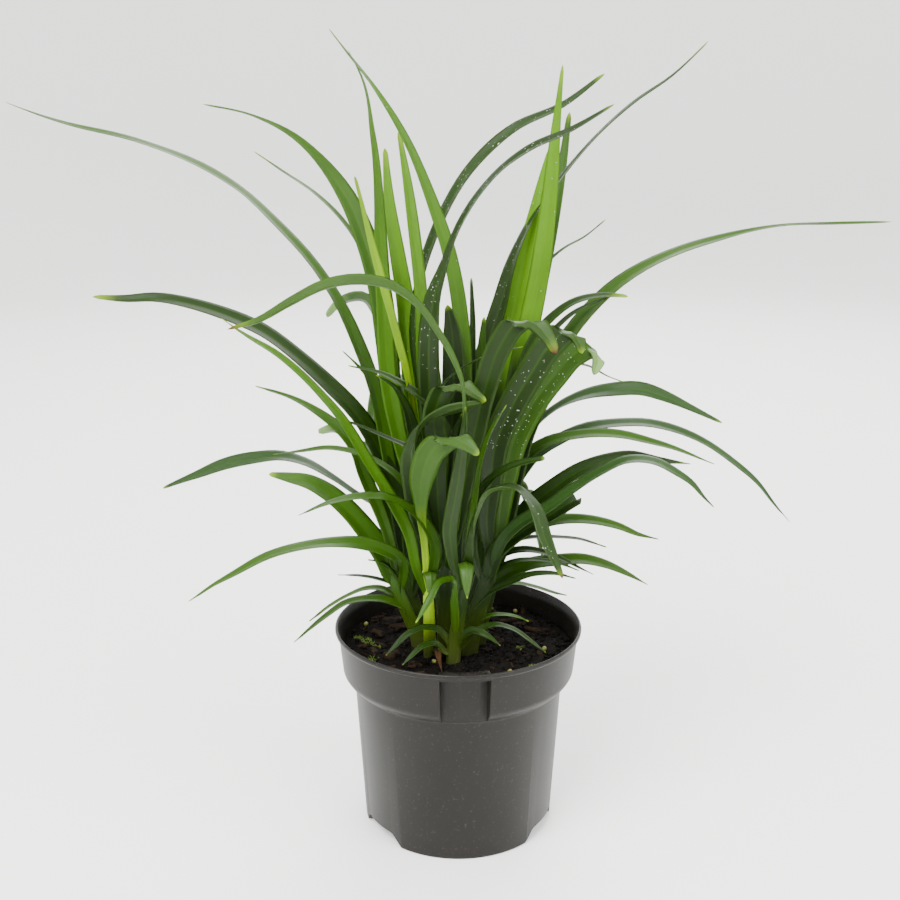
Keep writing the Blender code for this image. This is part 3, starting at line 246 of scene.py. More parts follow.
SHOOTS = (
    Shoot("shoot_front", (-3, -25), 9, [(-1, 120), (2, 140), (5, 162)], -33, [
        Leaf([(8, 175), (11, 195), (19, 210), (33, 212), (43, 203), (52, 180), (63, 155)],
             (-62, -125), (5, 7, 9, 10, 11, 11.5, 11.5, 11, 9.5, 6, 2),
             (30, 60, 85, 90, 75, 50, 30, 20), "dark", "brown", drops=30),
        Leaf([(5, 114), (14, 122), (22, 124.5), (33, 122), (44, 114.5), (54, 106.5)],
             (-29, -32), 6, (60, 40), "dark"),
        Leaf([(2, 117), (9, 121), (17, 118), (26, 111)], (-31, -38), 6, (40, 30), "dark"),
        Leaf([(-6, 114), (-12, 121), (-20, 122.5), (-30, 119), (-38, 111.5), (-44.5, 104.5)],
             (-30, -36), 7, (60, 30), "dark"),
        Leaf([(-8, 107), (-14, 112.5), (-21, 111), (-29, 104), (-34.5, 98)],
             (-33, -42), 5, (50, 20), "dark", "brown"),
        Leaf([(7, 180), (10, 205), (14, 232), (20, 249), (28, 263)],
             (-46, -72), 6, (50, 60), "leaf", "lime"),
        Arch(178, 26, 182, 166, 9, "leaf", "lime"),
        Leaf([(-3, 140), (-5, 154), (-10, 153), (-16, 143), (-26, 126)],
             (-46, -56), 8, (60, 20), "leaf", "lime"),
        Leaf([(6, 185), (10, 203), (19, 217), (29, 224.5), (40, 228.5), (51, 230.5)],
             (-46, -54), (4, 5, 6, 7, 7.5, 7.5, 7, 6.5, 5.5, 4), (45, 50), "dark"),
        Leaf([(-4, 172), (-5, 185), (-2, 205), (1, 225), (3, 245), (4, 262)],
             (-52, -76), 9, (10, 10), "dark"),
    ]),
    Shoot("shoot_young", (-17, -17), 8, [(-17, 125), (-18, 140), (-18.5, 152)], -24, [
        Leaf([(-20, 175), (-22.5, 200), (-21, 222), (-14, 237), (-4, 243), (4, 240), (12, 232.5)],
             (-44, -88), (4, 4.5, 4.5, 4.5, 5.5, 9, 14, 15.5, 14, 11, 3), (0, 0, 170), "stalk"),
        Arch(172, 18, 172, 156, 9, "leaf", "lime"),
        Leaf([(-26, 165), (-30, 184), (-38.5, 202), (-47, 217), (-55, 230), (-62.5, 244), (-70, 256),
              (-81.5, 270), (-93.5, 282.5), (-105.5, 293), (-121.5, 303.5), (-136, 314)],
             (-46, -100), 10, (54, 54), "fresh", "lime"),
        Leaf([(-16, 182), (-28, 198), (-42, 205.5), (-58, 206.5), (-75, 203.5), (-86, 199.5), (-96, 195)],
             (-42, -85), 10, (58, 58), "leaf"),
    ]),
    Shoot("shoot_right_fan", (6, -12), 13, [(8, 120), (14, 142), (25, 182)], -18, [
        Leaf([(17, 190), (19, 215), (22, 240), (31, 262), (42, 282), (53, 299), (62, 306), (68, 302),
              (71, 293)],
             (-30, -46), (7, 10, 13, 15, 16, 16, 16, 16, 14.5, 3), (0, 0, 170), "dark", drops=70),
        Leaf([(24, 190), (27, 215), (32, 240), (41, 260), (55, 280), (68, 294), (76, 297), (80, 291),
              (78, 280.5)],
             (-20, -36), (7, 10, 13, 15, 16, 16, 15.5, 15, 13, 3), (0, 0, 170), "leaf", "pale",
             drops=70),
        Leaf([(28, 190), (33, 219), (40, 247), (49, 266), (64, 285)],
             (-14, -22), (6, 9, 12, 14, 15, 15, 14, 12, 8, 3), (30, 20), "dark"),
        Leaf([(7, 133), (10, 138), (18, 146), (30, 152), (45, 158), (57, 158.5), (71, 155)],
             (-20, -25), 6, (38, 38), "dark"),
        Leaf([(8, 124), (15, 129.5), (28, 131.5), (36, 130), (43, 127)],
             (-14, -12), 5, (60, 60), "leaf", "lime"),
        Leaf([(15, 152), (23, 161), (33, 166), (46, 167), (60, 165), (73, 160)],
             (-19, -24), 5, (55, 55), "dark"),
        Leaf([(27, 180), (38, 191), (52, 199), (68, 211), (85, 222), (100, 229), (115, 228.5), (128, 222),
              (138, 215), (145, 207), (152, 200)], (-42, -90), 11, (60, 42), "grey"),
        Leaf([(24, 173), (33, 181), (45, 189), (57, 197), (66, 203), (73, 206.5)],
             (-24, -34), (5, 8, 11, 12.5, 13, 13, 13, 12.5, 12, 9), (40, 35), "dark", "torn"),
        Leaf([(8, 175), (10, 205), (12, 235), (15, 262)], (-14, -10), 9, (10, 20), "dark"),
    ]),
    Shoot("shoot_left", (-24, -4), 10, [(-27, 123), (-33, 138), (-40, 158)], -10, [
        Leaf([(-35, 167), (-45, 173.5), (-58, 177), (-75, 177.5), (-95, 174.5), (-115, 168.5),
              (-135, 158), (-150, 149.5), (-164, 140)], (-26, -70), 11, (57, 57), "leaf"),
        Leaf([(-46, 172), (-56, 186), (-66, 198), (-78, 209), (-90, 216), (-100, 218.5), (-112, 221)],
             (-12, -8), (9, 13, 15, 15.5, 15, 13, 9, 3), (38, 35), "leaf", "lime"),
        Leaf([(-33, 137), (-42, 140.5), (-55, 141.5), (-68, 139), (-80, 131), (-92, 121), (-101, 113)],
             (-14, -22), 8, (60, 50), "leaf"),
        Leaf([(-36, 149), (-48, 154.5), (-60, 157), (-73, 157.5)], (-6, -2), 4, (60, 60), "dark"),
        Leaf([(-38, 158), (-46, 165.5), (-54.5, 167)], (-12, -14), 4, (60, 60), "dark"),
        Leaf([(-40, 174), (-46.5, 197), (-51.5, 209.5), (-56.5, 222), (-61, 236), (-70.5, 249),
              (-81.5, 258), (-94, 265.5), (-106.5, 270.5), (-118, 274)],
             (-10, -18), 9, (30, 58), "leaf", "lime"),
    ]),
    Shoot("shoot_centre", (-8, -6), 10, [(-8, 125), (-8, 145), (-8, 168)], -12, [
        Leaf([(-4, 190), (0, 225), (3, 255), (2, 275), (-4, 290), (-14, 307), (-25, 322), (-40, 332),
              (-55, 334.5), (-75, 332), (-95, 323), (-115, 312), (-132, 307)],
             (-78, -176), (5, 8, 9, 9, 9, 9, 9.5, 10, 10, 10, 9, 5.5, 1.5), (100, 135), "leaf", "brown"),
        Leaf([(-20, 185), (-26, 210), (-27, 235), (-21, 250), (-8, 258), (4, 262), (15.5, 265)],
             (-34, -58), (6, 9, 12, 13, 13, 13, 12.5, 11, 8, 2), (0, 0, 0, 10, 60, 100, 135, 145), "dark"),
        Leaf([(-12, 200), (-13, 235), (-13, 262), (-6, 274), (3, 274), (10, 269), (16, 265)],
             (-28, -52), (6, 9, 12, 13, 14, 14, 13.5, 13, 10, 3), (0, 0, 168), "dark"),
        Leaf([(-20, 175), (-24, 195), (-32, 214), (-46, 227), (-62, 234), (-77, 236.5), (-92, 235),
              (-109, 233)], (-27, -32), 8, (58, 58), "leaf"),
        Leaf([(0, 200), (8, 240), (16, 275), (24, 298), (34, 311), (43, 311), (50, 304), (56, 293)],
             (-22, -76), (6, 9, 12, 13, 13, 13, 13.5, 13.5, 12, 4), (0, 10, 165), "dark", "brown"),
        Leaf([(-14, 230), (-14, 262), (-8, 276), (4, 286), (18, 293), (37, 297)],
             (-26, -36), 6, (80, 80), "dark"),
        Leaf([(-9, 185), (-9, 205), (-7, 225), (-3, 243), (2, 258)], (-20, -26), 9, (10, 15), "dark"),
    ]),
    Shoot("shoot_right", (12, 0.5), 11, [(14, 125), (18, 145), (24, 165)], 0, [
        Leaf([(32, 188), (45, 203), (58, 213.5), (72, 223), (87, 229), (100, 231.5), (118, 229),
              (137, 227)], (-2, -26), 12, (38, 40), "dark", "lime"),
        Leaf([(31, 190), (34, 215), (42, 233), (52, 240), (66, 244), (80, 245.5), (95, 244.5), (110, 241),
              (125, 237), (151, 227)], (-2, -30), 10, (50, 50), "leaf"),
        Leaf([(30, 200), (36, 232), (46, 251), (60, 262.5), (75, 269), (90, 271.5), (105, 272),
              (120, 267.5), (135, 261), (154, 252)],
             (8, -5), (4, 5.5, 6.5, 8, 9.5, 11, 11.5, 11, 9, 5, 1.5), (72, 70, 35, 30), "grey"),
        Leaf([(23, 170), (33, 178.5), (48, 181.5), (60, 181.5), (72, 180.5), (89, 175)],
             (-4, -12), 5, (55, 55), "dark"),
        Leaf([(18, 160), (28, 171), (39, 173.5), (50, 172), (61, 168), (71, 163), (82, 157.5)],
             (-6, -14), 6, (45, 45), "dark"),
        Leaf([(22, 176), (35, 185), (50, 190), (65, 192.5), (80, 192), (95, 188.5), (108, 183),
              (120, 180)], (-10, -40), 9, (40, 40), "leaf"),
        Leaf([(16, 148), (24, 155), (33, 160), (45, 164.5), (60, 166.5), (75, 167), (88, 164), (102, 158),
              (115, 151)], (-4, -14), 10, (40, 37), "leaf"),
        Leaf([(30, 240), (37, 280), (44, 301), (54, 314), (66, 323), (80, 326.5), (96, 326)],
             (2, -20), (5, 8, 9, 10, 11, 12, 12, 11, 9, 6, 2.5), (54, 54), "dark", "lime"),
        Leaf([(27, 230), (35, 280), (41, 312), (46, 340), (50, 375), (53, 415), (56, 452)],
             (3, -2), (5, 8, 11, 13, 13.5, 13.5, 12.5, 11, 8.5, 5, 1.5),
             (15, 15), "upright", "lime", drops=6),
    ]),
    Shoot("shoot_tall", (-7, 5), 11, [(-7, 125), (-8, 145), (-9, 168)], 3, [
        Leaf([(-20, 215), (-26, 255), (-30, 280), (-36, 303), (-42, 326), (-48, 350), (-58, 393)],
             (-8, -42), (4, 3.5, 3.5, 4, 4.5, 6.5, 8.5, 9, 8, 5, 2), (54, 50), "lime", "lime"),
        Leaf([(-26, 210), (-35, 245), (-41, 280), (-42.5, 310), (-44, 340), (-45, 375), (-48, 415),
              (-53, 446), (-60, 459)], (4, 8), 11, (10, 40, 75), "fresh"),
        Leaf([(0, 220), (2.5, 265), (2.5, 290), (0, 320), (-6.5, 352), (-15, 378), (-28, 409), (-45, 438),
              (-70, 470)], (2, -22), 10, (25, 70), "fresh", "lime", drops=4),
        Leaf([(-14, 230), (-17, 270), (-17, 300), (-14, 325), (-8, 342), (0, 364), (10, 381), (22, 395),
              (40, 408), (60, 416.5), (85, 431.5)],
             (-9, -58), (6, 9, 12, 13, 13, 12, 11, 10.5, 9, 6, 2),
             (0, 0, 0, 20, 70, 75, 60, 50), "dark", drops=90),
        Leaf([(-5, 230), (-3, 270), (-3, 295), (-4, 307), (-6.5, 321.5)],
             (-6, -12), (12, 14, 14, 14, 14, 14, 14, 13.5, 11, 3), (0, 0), "dark"),
        Leaf([(8, 240), (8, 285), (8, 310), (7, 337)],
             (1, 0), (4, 4, 4.5, 4.5, 4.5, 4, 3.5, 1.5), (0, 0), "dark"),
        Leaf([(-4, 225), (-9, 250), (-16, 261), (-28, 272), (-45, 281.5), (-64, 286)],
             (-11, -28), 9, (45, 45), "dark"),
        Leaf([(-20, 215), (-26, 243), (-31, 262), (-38, 274), (-48, 280.5)],
             (-14, -26), 10, (20, 40), "dark"),
        Leaf([(-14, 212), (-28, 236), (-42, 243), (-56, 249.5), (-70, 255)],
             (-12, -24), 6, (50, 60), "dark"),
    ]),
    Shoot("shoot_left_back", (-22, 9), 11, [(-24, 125), (-28, 142), (-33, 162)], 12, [
        Leaf([(-38, 205), (-43, 240), (-49, 272), (-57, 295), (-69, 323), (-82, 343), (-100, 364),
              (-120, 383.5), (-142, 397.5), (-175, 411), (-215, 421), (-247, 432)],
             (12, 38), 12, (62, 72), "leaf"),
        Leaf([(-35, 190), (-39, 215), (-47, 236), (-58, 255), (-75, 274), (-93, 291), (-112, 305.5),
              (-132, 315), (-152, 321.5), (-172, 325), (-190, 324.5), (-208, 326)],
             (4, 0), (6, 9, 12, 13.5, 14, 14, 13, 12, 10, 7, 2.5), (48, 40), "dark", "lime"),
        Leaf([(-38, 215), (-40, 265), (-42, 300), (-46, 332), (-53, 358), (-62, 380), (-75, 399),
              (-92, 415), (-115, 426), (-139.5, 431)],
             (24, 62), (6, 9, 12, 14, 16, 16.5, 16, 13, 6.5, 2.5, 1.2), (30, 30, 38, 52), "leaf"),
        Leaf([(-36, 187), (-48, 200), (-62, 209), (-75, 218.5), (-90, 227.5), (-103, 231), (-120, 230),
              (-138, 226.5), (-155, 220), (-175, 212)],
             (26, 56), (6, 8, 9, 9, 9.5, 11, 12, 12, 10, 6, 2), (70, 60, 45, 40), "grey"),
        Leaf([(-30, 136), (-38, 143), (-47, 148.5), (-56, 148.5), (-66, 144.5), (-77, 138), (-91, 127)],
             (15, 20), 6, (60, 60), "leaf"),
        Leaf([(-38, 230), (-46, 262), (-54, 281), (-60, 288), (-67, 295)], (14, 18), 6, (40, 40), "leaf"),
        Arch(-24, 60, 222, 190, 12, "leaf"),
        Leaf([(-35, 168), (-38.5, 185), (-40, 202), (-42, 225), (-45, 250), (-48, 268)],
             (16, 18), (13, 16, 16, 16, 15, 12, 4), (20, 30), "leaf"),
        Leaf([(-27, 166), (-28, 200), (-29, 226), (-31, 252)],
             (20, 24), (9, 12, 13, 12, 8, 2), (10, 15), "dark"),
    ]),
    Shoot("shoot_right_back", (9, 11), 12, [(10, 125), (12, 145), (16, 168)], 15, [
        Leaf([(20, 230), (27, 280), (31, 315), (36, 342), (41, 368), (46, 392), (50, 408)],
             (20, 34), (6, 9, 12, 14, 15, 15, 14, 12, 9, 5, 2), (10, 10), "upright", drops=8),
        Leaf([(27, 240), (40, 300), (48, 340), (54, 375), (60.5, 427)],
             (30, 66), (4, 6, 8, 9, 9.5, 9.5, 9, 8, 6, 3), (20, 20), "leaf"),
        Leaf([(30, 250), (42, 315), (50, 345), (60, 354), (70, 359.5), (82, 369)],
             (40, 80), 6, (50, 60), "leaf"),
        Leaf([(30, 220), (45, 270), (60, 298), (72, 315), (88, 331), (105, 342.5), (125, 352),
              (150, 359.5), (180, 366), (210, 367), (242, 368)],
             (28, 42), (6, 9, 11, 13, 13.5, 13, 11.5, 8, 3.5, 2.5, 1.5), (52, 60), "leaf"),
        Leaf([(26, 200), (36, 219), (46, 233), (60, 242), (76, 249), (92, 251.5), (110, 251.5),
              (128, 247), (145, 239.5), (162, 228), (176, 216), (187, 203), (198, 191)],
             (34, 52), 10, (55, 55), "grey"),
        Leaf([(11, 240), (12.5, 266), (13.5, 286.5), (13.5, 301), (14.5, 314.5)],
             (7, 4), (6, 8, 8, 8, 7.5, 6.5, 2), (10, 10), "leaf"),
        Leaf([(8, 250), (12, 282), (18, 303), (24, 322), (31, 347), (42, 371), (56, 391), (74, 413),
              (95, 432), (115, 446), (134, 464)],
             (15, 38), (8, 10, 11, 11.5, 11.5, 11, 10, 8, 7, 5, 2),
             (10, 20, 70, 84, 84), "dark", "lime", drops=80),
        Arch(36, 56, 205, 172, 12, "leaf"),
        Leaf([(24, 240), (38, 300), (50, 345), (55, 380), (59.5, 413)],
             (46, 84), (3, 5, 6.5, 7, 7, 7, 7, 6.5, 5, 2.5), (30, 30), "leaf"),
        Leaf([(30, 230), (44, 285), (55, 307), (66, 317), (78, 323), (88, 327)],
             (22, 26), 8, (50, 50), "dark"),
        Arch(32, 80, 195, 135, 10, "leaf"),
    ]),
    Shoot("shoot_back", (-8, 17), 11, [(-9, 125), (-10, 145), (-12, 168)], 26, [
        Leaf([(-16, 220), (-22, 270), (-25, 310), (-21, 338), (-10, 368), (6, 396), (30, 418), (57, 431),
              (79, 447)],
             (32, 72), (4, 6, 8, 9, 10, 10.5, 10.5, 10, 9, 6, 2.5), (60, 60, 50, 45), "dark", drops=110),
        Leaf([(-30, 240), (-38, 290), (-48, 335), (-62, 364), (-80, 383.5), (-98, 396), (-113, 406)],
             (48, 105), 8, (60, 60), "leaf", "lime"),
        Leaf([(-22, 240), (-28, 285), (-31, 325), (-35, 350), (-39, 380), (-41, 408)],
             (38, 70), (5, 8, 11, 13, 13.5, 13, 12, 10, 7, 3), (20, 20), "bright", "lime", drops=6),
        Leaf([(-17, 240), (-21, 285), (-22, 325), (-25, 355), (-29, 390), (-33.5, 417)],
             (28, 45), (5, 7, 9, 11, 11.5, 11.5, 11, 9.5, 7, 3), (40, 35), "bright", "lime"),
        Leaf([(-34, 262), (-44, 300), (-47, 315), (-54, 325), (-64, 324), (-71, 319), (-75, 314)],
             (50, 80), (5, 8, 10, 11, 12, 12, 12.5, 12, 10, 5), (90, 140), "grey", "pale"),
        Leaf([(-32, 215), (-50, 232), (-64, 243), (-73, 248), (-82, 246)],
             (60, 105), (5, 8, 10, 11, 12, 12, 12.5, 12, 10, 5), (90, 140), "grey", "pale"),
        Arch(-8, 150, 280, 215, 13, "leaf"),
        Arch(-24, 138, 262, 180, 12, "leaf"),
        Leaf([(-12, 190), (-10, 230), (-4, 270), (4, 300)], (22, 24), 12, (10, 20), "dark"),
        Arch(-22, 95, 215, 160, 10, "leaf"),
        Arch(-12, 42, 150, 132, 7, "leaf"),
        Leaf([(-3, 160), (0, 176), (3, 205), (5, 235), (7, 262)],
             (26, 28), (10, 13, 13, 12, 11, 8, 2), (10, 15), "dark"),
    ]),
    Shoot("shoot_back_right", (7, 22), 10, [(8, 125), (9, 145), (12, 165)], 33, [
        Leaf([(14, 142), (22, 150), (35, 152), (47, 149.5), (58, 146), (66, 144)],
             (36, 42), 6, (60, 70), "leaf"),
        Leaf([(28, 240), (48, 272), (62, 287), (75, 286), (86, 280), (96, 276)],
             (45, 70), 5, (60, 60), "dark", "lime"),
        Arch(15, 150, 270, 195, 13, "leaf"),
        Arch(7, 118, 238, 185, 12, "leaf"),
        Arch(0, 90, 205, 150, 9, "leaf"),
        Arch(28, 110, 300, 270, 12, "dark"),
        Leaf([(12, 190), (10, 230), (12, 262), (16, 290)], (42, 48), 12, (10, 20), "dark"),
        Arch(22, 46, 156, 130, 7, "leaf"),
    ]),
)

# Bark chips that can be told apart: place, size, turn about the vertical, and tilt
MARKED_CHIPS = (
    ((-42.9, 36.8), (12.0, 6.0, 2.0), 0.5, (0.2, 0.1)),
    ((-36.6, 22.5), (14.0, 6.5, 2.0), 0.3, (0.3, -0.1)),
    ((-49.9, 13.3), (9.0, 5.0, 2.0), -0.4, (0.2, 0.2)),
    ((-40.3, -20.3), (10.0, 7.0, 4.0), 0.9, (0.1, 0.0)),
    ((-27.3, -44.0), (17.0, 5.0, 2.2), 0.12, (0.35, 0.0)),
    ((33.4, 33.6), (15.0, 4.0, 1.8), 0.4, (0.2, 0.0)),
    ((41.4, 28.8), (13.0, 4.0, 1.8), 0.15, (0.2, -0.1)),
    ((47.4, 20.5), (12.0, 4.5, 1.8), -0.3, (0.2, 0.1)),
    ((-51.7, 40.0), (10.0, 2.0, 1.6), 0.8, (0.0, 0.1)),
)
# Where a chip's sections lie along it, and the points round each: across, and up
CHIP_ALONG = (-0.5, -0.42, -0.15, 0.15, 0.42, 0.5)
CHIP_SECTION = ((-1, -0.4), (-0.8, -1), (0.8, -1), (1, -0.4), (1, 0.4), (0.7, 1), (-0.7, 1), (-1, 0.5))
# Fertiliser grains, as (x, y)
PRILLS = ((-14.5, -25.9), (37.5, 48.6), (-58.2, 27.2), (30.0, -40.0), (-30.0, 47.0), (52.0, -12.0))
# Moss: (x, y, reach) of each tuft
MOSS = ((-55.5, 2.7, 4.0), (-49.6, -3.2, 3.0), (37.6, -6.1, 2.5), (-50.9, -23.1, 4.0), (-62.0, 10.0, 3.0),
        (20.0, 56.0, 4.0), (44.0, -34.0, 3.0))
# Leaflets for each millimetre of a tuft's reach, and a leaflet's thickness at its foot and its tip
LEAFLETS, LEAFLET_FOOT, LEAFLET_TIP = 12, 0.35, 0.05
# The papery sheath: its width, length and thickness, and its midrib
HUSK_WIDTH, HUSK_LENGTH, HUSK_THICKNESS = 6.0, 30.0, 0.25
HUSK_PATH = [(-13.5, -15.0, 110.0), (-13.0, -20.0, 118.0), (-12.5, -28.0, 121.0), (-11.0, -37.0, 117.5),
             (-9.5, -45.0, 115.0)]


# ---------------------------------------------------------------- colours and materials

def linear(code):
    """An sRGB hex colour as linear red, green and blue."""
    parts = [int(code[i:i + 2], 16) / 255 for i in (1, 3, 5)]
    return tuple(p / 12.92 if p <= 0.04045 else ((p + 0.055) / 1.055) ** 2.4 for p in parts)


def opaque(colour):
    return (*colour, 1.0)


def add_node(tree, kind, inputs=None, stops=None, **settings):
    """Add a shader node with its settings, and set or link its inputs."""
    made = tree.nodes.new(kind)
    for name, value in settings.items():
        setattr(made, name, value)
    for key, value in (inputs or {}).items():
        if isinstance(value, bpy.types.NodeSocket):
            tree.links.new(value, made.inputs[key])
        else:
            made.inputs[key].default_value = value
    if stops:
        ramp = made.color_ramp
        while len(ramp.elements) < len(stops):
            ramp.elements.new(0.5)
        for element, (position, colour) in zip(ramp.elements, stops):
            element.position = position
            element.color = opaque(colour)
    return made


def mottled(tree, scale, detail=2.0, place=None):
    """Noise from 0 to 1 in the object's own space, or on another map."""
    place = place or add_node(tree, "ShaderNodeTexCoord").outputs["Object"]
    return add_node(tree, "ShaderNodeTexNoise",
                    {"Vector": place, "Scale": scale, "Detail": detail}).outputs["Fac"]


def ramped(tree, value, *stops):
    return add_node(tree, "ShaderNodeValToRGB", {"Fac": value}, stops=stops).outputs["Color"]


def blended(tree, share, first, second):
    return add_node(tree, "ShaderNodeMix", {"Factor": share, "A": first, "B": second},
                    data_type="RGBA").outputs["Result"]


def computed(tree, operation, *values):
    return add_node(tree, "ShaderNodeMath", dict(enumerate(values)), operation=operation).outputs["Value"]


def scaled(colour, factor):
    return tuple(c * factor for c in colour)


def new_material(name, roughness, ior, **fixed):
    """An empty material with a Principled shader whose plain values are set on its sockets."""
    made = bpy.data.materials.new(name)
    made.use_nodes = True
    shader = made.node_tree.nodes["Principled BSDF"]
    shader.inputs["Roughness"].default_value = roughness
    shader.inputs["IOR"].default_value = ior
    for key, value in fixed.items():
        shader.inputs[key.replace("_", " ")].default_value = value
    return made, made.node_tree, shader


def surface(tree, shader, colour, height=None, strength=0.0, distance=0.0):
    """Link a colour to the shader, and a height as its relief."""
    tree.links.new(colour, shader.inputs["Base Color"])
    if height:
        bump = add_node(tree, "ShaderNodeBump", {"Height": height, "Strength": strength,
                                                 "Distance": distance})
        tree.links.new(bump.outputs["Normal"], shader.inputs["Normal"])


def pot_material(settings):
    """Moulded polypropylene: a warm grey with a satin gloss, soft mottling, a faint moulded grain and
    specks of dust."""
    made, tree, shader = new_material("grey polypropylene", settings.gloss_roughness, 1.49,
                                      Specular_IOR_Level=0.22)
    # Mottling 20 mm wide, and dust of 1 to 2 mm
    shades = ramped(tree, mottled(tree, 50.0, 3.0), (0.30, scaled(settings.colour, 0.93)),
                    (0.70, scaled(settings.colour, 1.07)))
    dusty = ramped(tree, mottled(tree, 620.0), (0.62, (0, 0, 0)), (0.80, (1, 1, 1)))
    dusted = blended(tree, 0.25, shades, blended(tree, dusty, shades, opaque(settings.dust_colour)))
    # Moulded grain: 0.3 mm on the real pot, drawn at 0.8 mm so that it holds at this distance
    surface(tree, shader, dusted, mottled(tree, 1250.0), 0.12, 0.05 * MM)
    return made


def mix_material(name, dark, light, settings):
    """Bark and peat: matt, nearly black, with brown fibres that catch the light."""
    made, tree, shader = new_material(name, 0.95, 1.45, Specular_IOR_Level=0.08)
    place = add_node(tree, "ShaderNodeTexCoord").outputs["Object"]
    # Crumbs of 3 mm and fibres of 1 mm
    crumbs = add_node(tree, "ShaderNodeTexVoronoi", {"Vector": place, "Scale": 330.0}).outputs["Distance"]
    fibres = mottled(tree, 900.0, 4.0, place)
    shades = ramped(tree, computed(tree, "MULTIPLY", crumbs, fibres), (0.10, dark), (0.32, light))
    surface(tree, shader, shades, fibres, 0.8, settings.crumb_relief)
    return made


def leaf_material(settings):
    """A living strap leaf: the tint that each point carries, with painted light and shade in it, fine lighter
    veins along it, streaks and broad unevenness, and a waxy gloss."""
    made, tree, shader = new_material("flax lily leaf", settings.gloss_roughness, 1.45,
                                      Specular_IOR_Level=0.2)
    tint = add_node(tree, "ShaderNodeAttribute", attribute_name="leaf_tint").outputs["Color"]
    along = add_node(tree, "ShaderNodeUVMap", uv_map="leaf_uv").outputs["UV"]
    # Parallel veins: a wave band repeats every 0.314 divided by its scale, so this is one per vein
    veins = add_node(tree, "ShaderNodeTexWave",
                     {"Vector": along, "Scale": 0.314 / settings.vein_spacing, "Distortion": 0.3,
                      "Detail": 1.0}, bands_direction="X").outputs["Fac"]
    # Streaks 1 mm wide and 20 mm long on the leaf's own map, and unevenness 25 mm wide
    stretch = add_node(tree, "ShaderNodeMapping", {"Vector": along, "Scale": (900.0, 45.0, 1.0)})
    streaks = mottled(tree, 1.0, 3.0, stretch.outputs["Vector"])
    light = [computed(tree, "MULTIPLY_ADD", veins, 0.16, 0.86),
             computed(tree, "MULTIPLY_ADD", streaks, 0.30, -0.15),
             computed(tree, "MULTIPLY_ADD", mottled(tree, 40.0), 0.36, -0.18)]
    total = computed(tree, "ADD", computed(tree, "ADD", light[0], light[1]), light[2])
    shaded = add_node(tree, "ShaderNodeVectorMath", {0: tint, "Scale": total}, operation="SCALE")
    surface(tree, shader, shaded.outputs["Vector"], veins, 0.35, 0.06 * MM)
    return made


def plain_material(name, colour, roughness, variation, scale=400.0):
    """One colour with a slight unevenness of the given scale, for the small loose pieces."""
    made, tree, shader = new_material(name, roughness, 1.45)
    surface(tree, shader, ramped(tree, mottled(tree, scale, 3.0), (0.3, scaled(colour, 1 - variation)),
                                 (0.7, scaled(colour, 1 + variation))))
    return made


# ---------------------------------------------------------------- meshes

def collection(name):
    made = bpy.data.collections.get(name) or bpy.data.collections.new(name)
    if made.name not in bpy.context.scene.collection.children:
        bpy.context.scene.collection.children.link(made)
    return made


def object_from(bm, name, group="potted_flax_lily", smooth=True):
    """Turn the faces of a bmesh outwards and make it an object at the origin."""
    bmesh.ops.recalc_face_normals(bm, faces=bm.faces)
    if bm.calc_volume(signed=True) < 0.0:
        bmesh.ops.reverse_faces(bm, faces=bm.faces)
    mesh = bpy.data.meshes.new(name)
    bm.to_mesh(mesh)
    bm.free()
    made = bpy.data.objects.new(name, mesh)
    collection(group).objects.link(made)
    if smooth:
        mesh.shade_smooth()
    return made


def settle(piece, material, node=None):
    """Give a finished piece its material and its place in the frame."""
    piece.data.materials.clear()
    piece.data.materials.append(material)
    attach(piece, "root")
    if node:
        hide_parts(node)


def apply_modifiers(piece):
    depsgraph = bpy.context.evaluated_depsgraph_get()
    mesh = bpy.data.meshes.new_from_object(piece.evaluated_get(depsgraph))
    piece.modifiers.clear()
    piece.data = mesh


def boolean(piece, operation, cutters):
    """Cut or join with every object of a collection, and remove those."""
    modifier = piece.modifiers.new(operation.title(), "BOOLEAN")
    modifier.operation = operation
    modifier.solver = "EXACT"
    modifier.operand_type = "COLLECTION"
    modifier.collection = cutters
    for cutter in cutters.objects:
        cutter.hide_render = True
    apply_modifiers(piece)
    for cutter in list(cutters.objects):
        bpy.data.objects.remove(cutter, do_unlink=True)


def softened(points, reach, segments=3, closed=False):
    """The same outline with each corner turned into a short curve that starts `reach` before it."""
    points = [np.array(p, dtype=float) for p in points]
    count = len(points)
    made = []
    for index, corner in enumerate(points):
        if not closed and index in (0, count - 1):
            made.append(tuple(corner))
            continue
        before, after = points[index - 1] - corner, points[(index + 1) % count] - corner
        size = [min(reach, 0.45 * np.linalg.norm(side)) for side in (before, after)]
        start = corner + before / np.linalg.norm(before) * size[0]
        end = corner + after / np.linalg.norm(after) * size[1]
        for step in range(segments + 1):
            t = step / segments
            made.append(tuple(start * (1 - t) ** 2 + corner * 2 * t * (1 - t) + end * t * t))
    return made


def spun(profile, steps, merge):
    """A bmesh turned round the upright axis from (radius, height) points, in metres."""
    bm = bmesh.new()
    verts = [bm.verts.new((radius, 0.0, height)) for radius, height in profile]
    edges = [bm.edges.new(pair) for pair in zip(verts, verts[1:])]
    bmesh.ops.spin(bm, geom=verts + edges, cent=(0, 0, 0), axis=(0, 0, 1), angle=2 * math.pi, steps=steps,
                   use_merge=True)
    bmesh.ops.remove_doubles(bm, verts=bm.verts, dist=merge)
    return bm


def loft(bm, rings):
    """A closed skin through rings of equal point counts, in millimetres."""
    loops = [[bm.verts.new(Vector(point) * MM) for point in ring] for ring in rings]
    count = len(loops[0])
    for low, high in zip(loops, loops[1:]):
        for step in range(count):
            after = (step + 1) % count
            bm.faces.new((low[step], low[after], high[after], high[step]))
    bm.faces.new(loops[0][::-1])
    bm.faces.new(loops[-1])


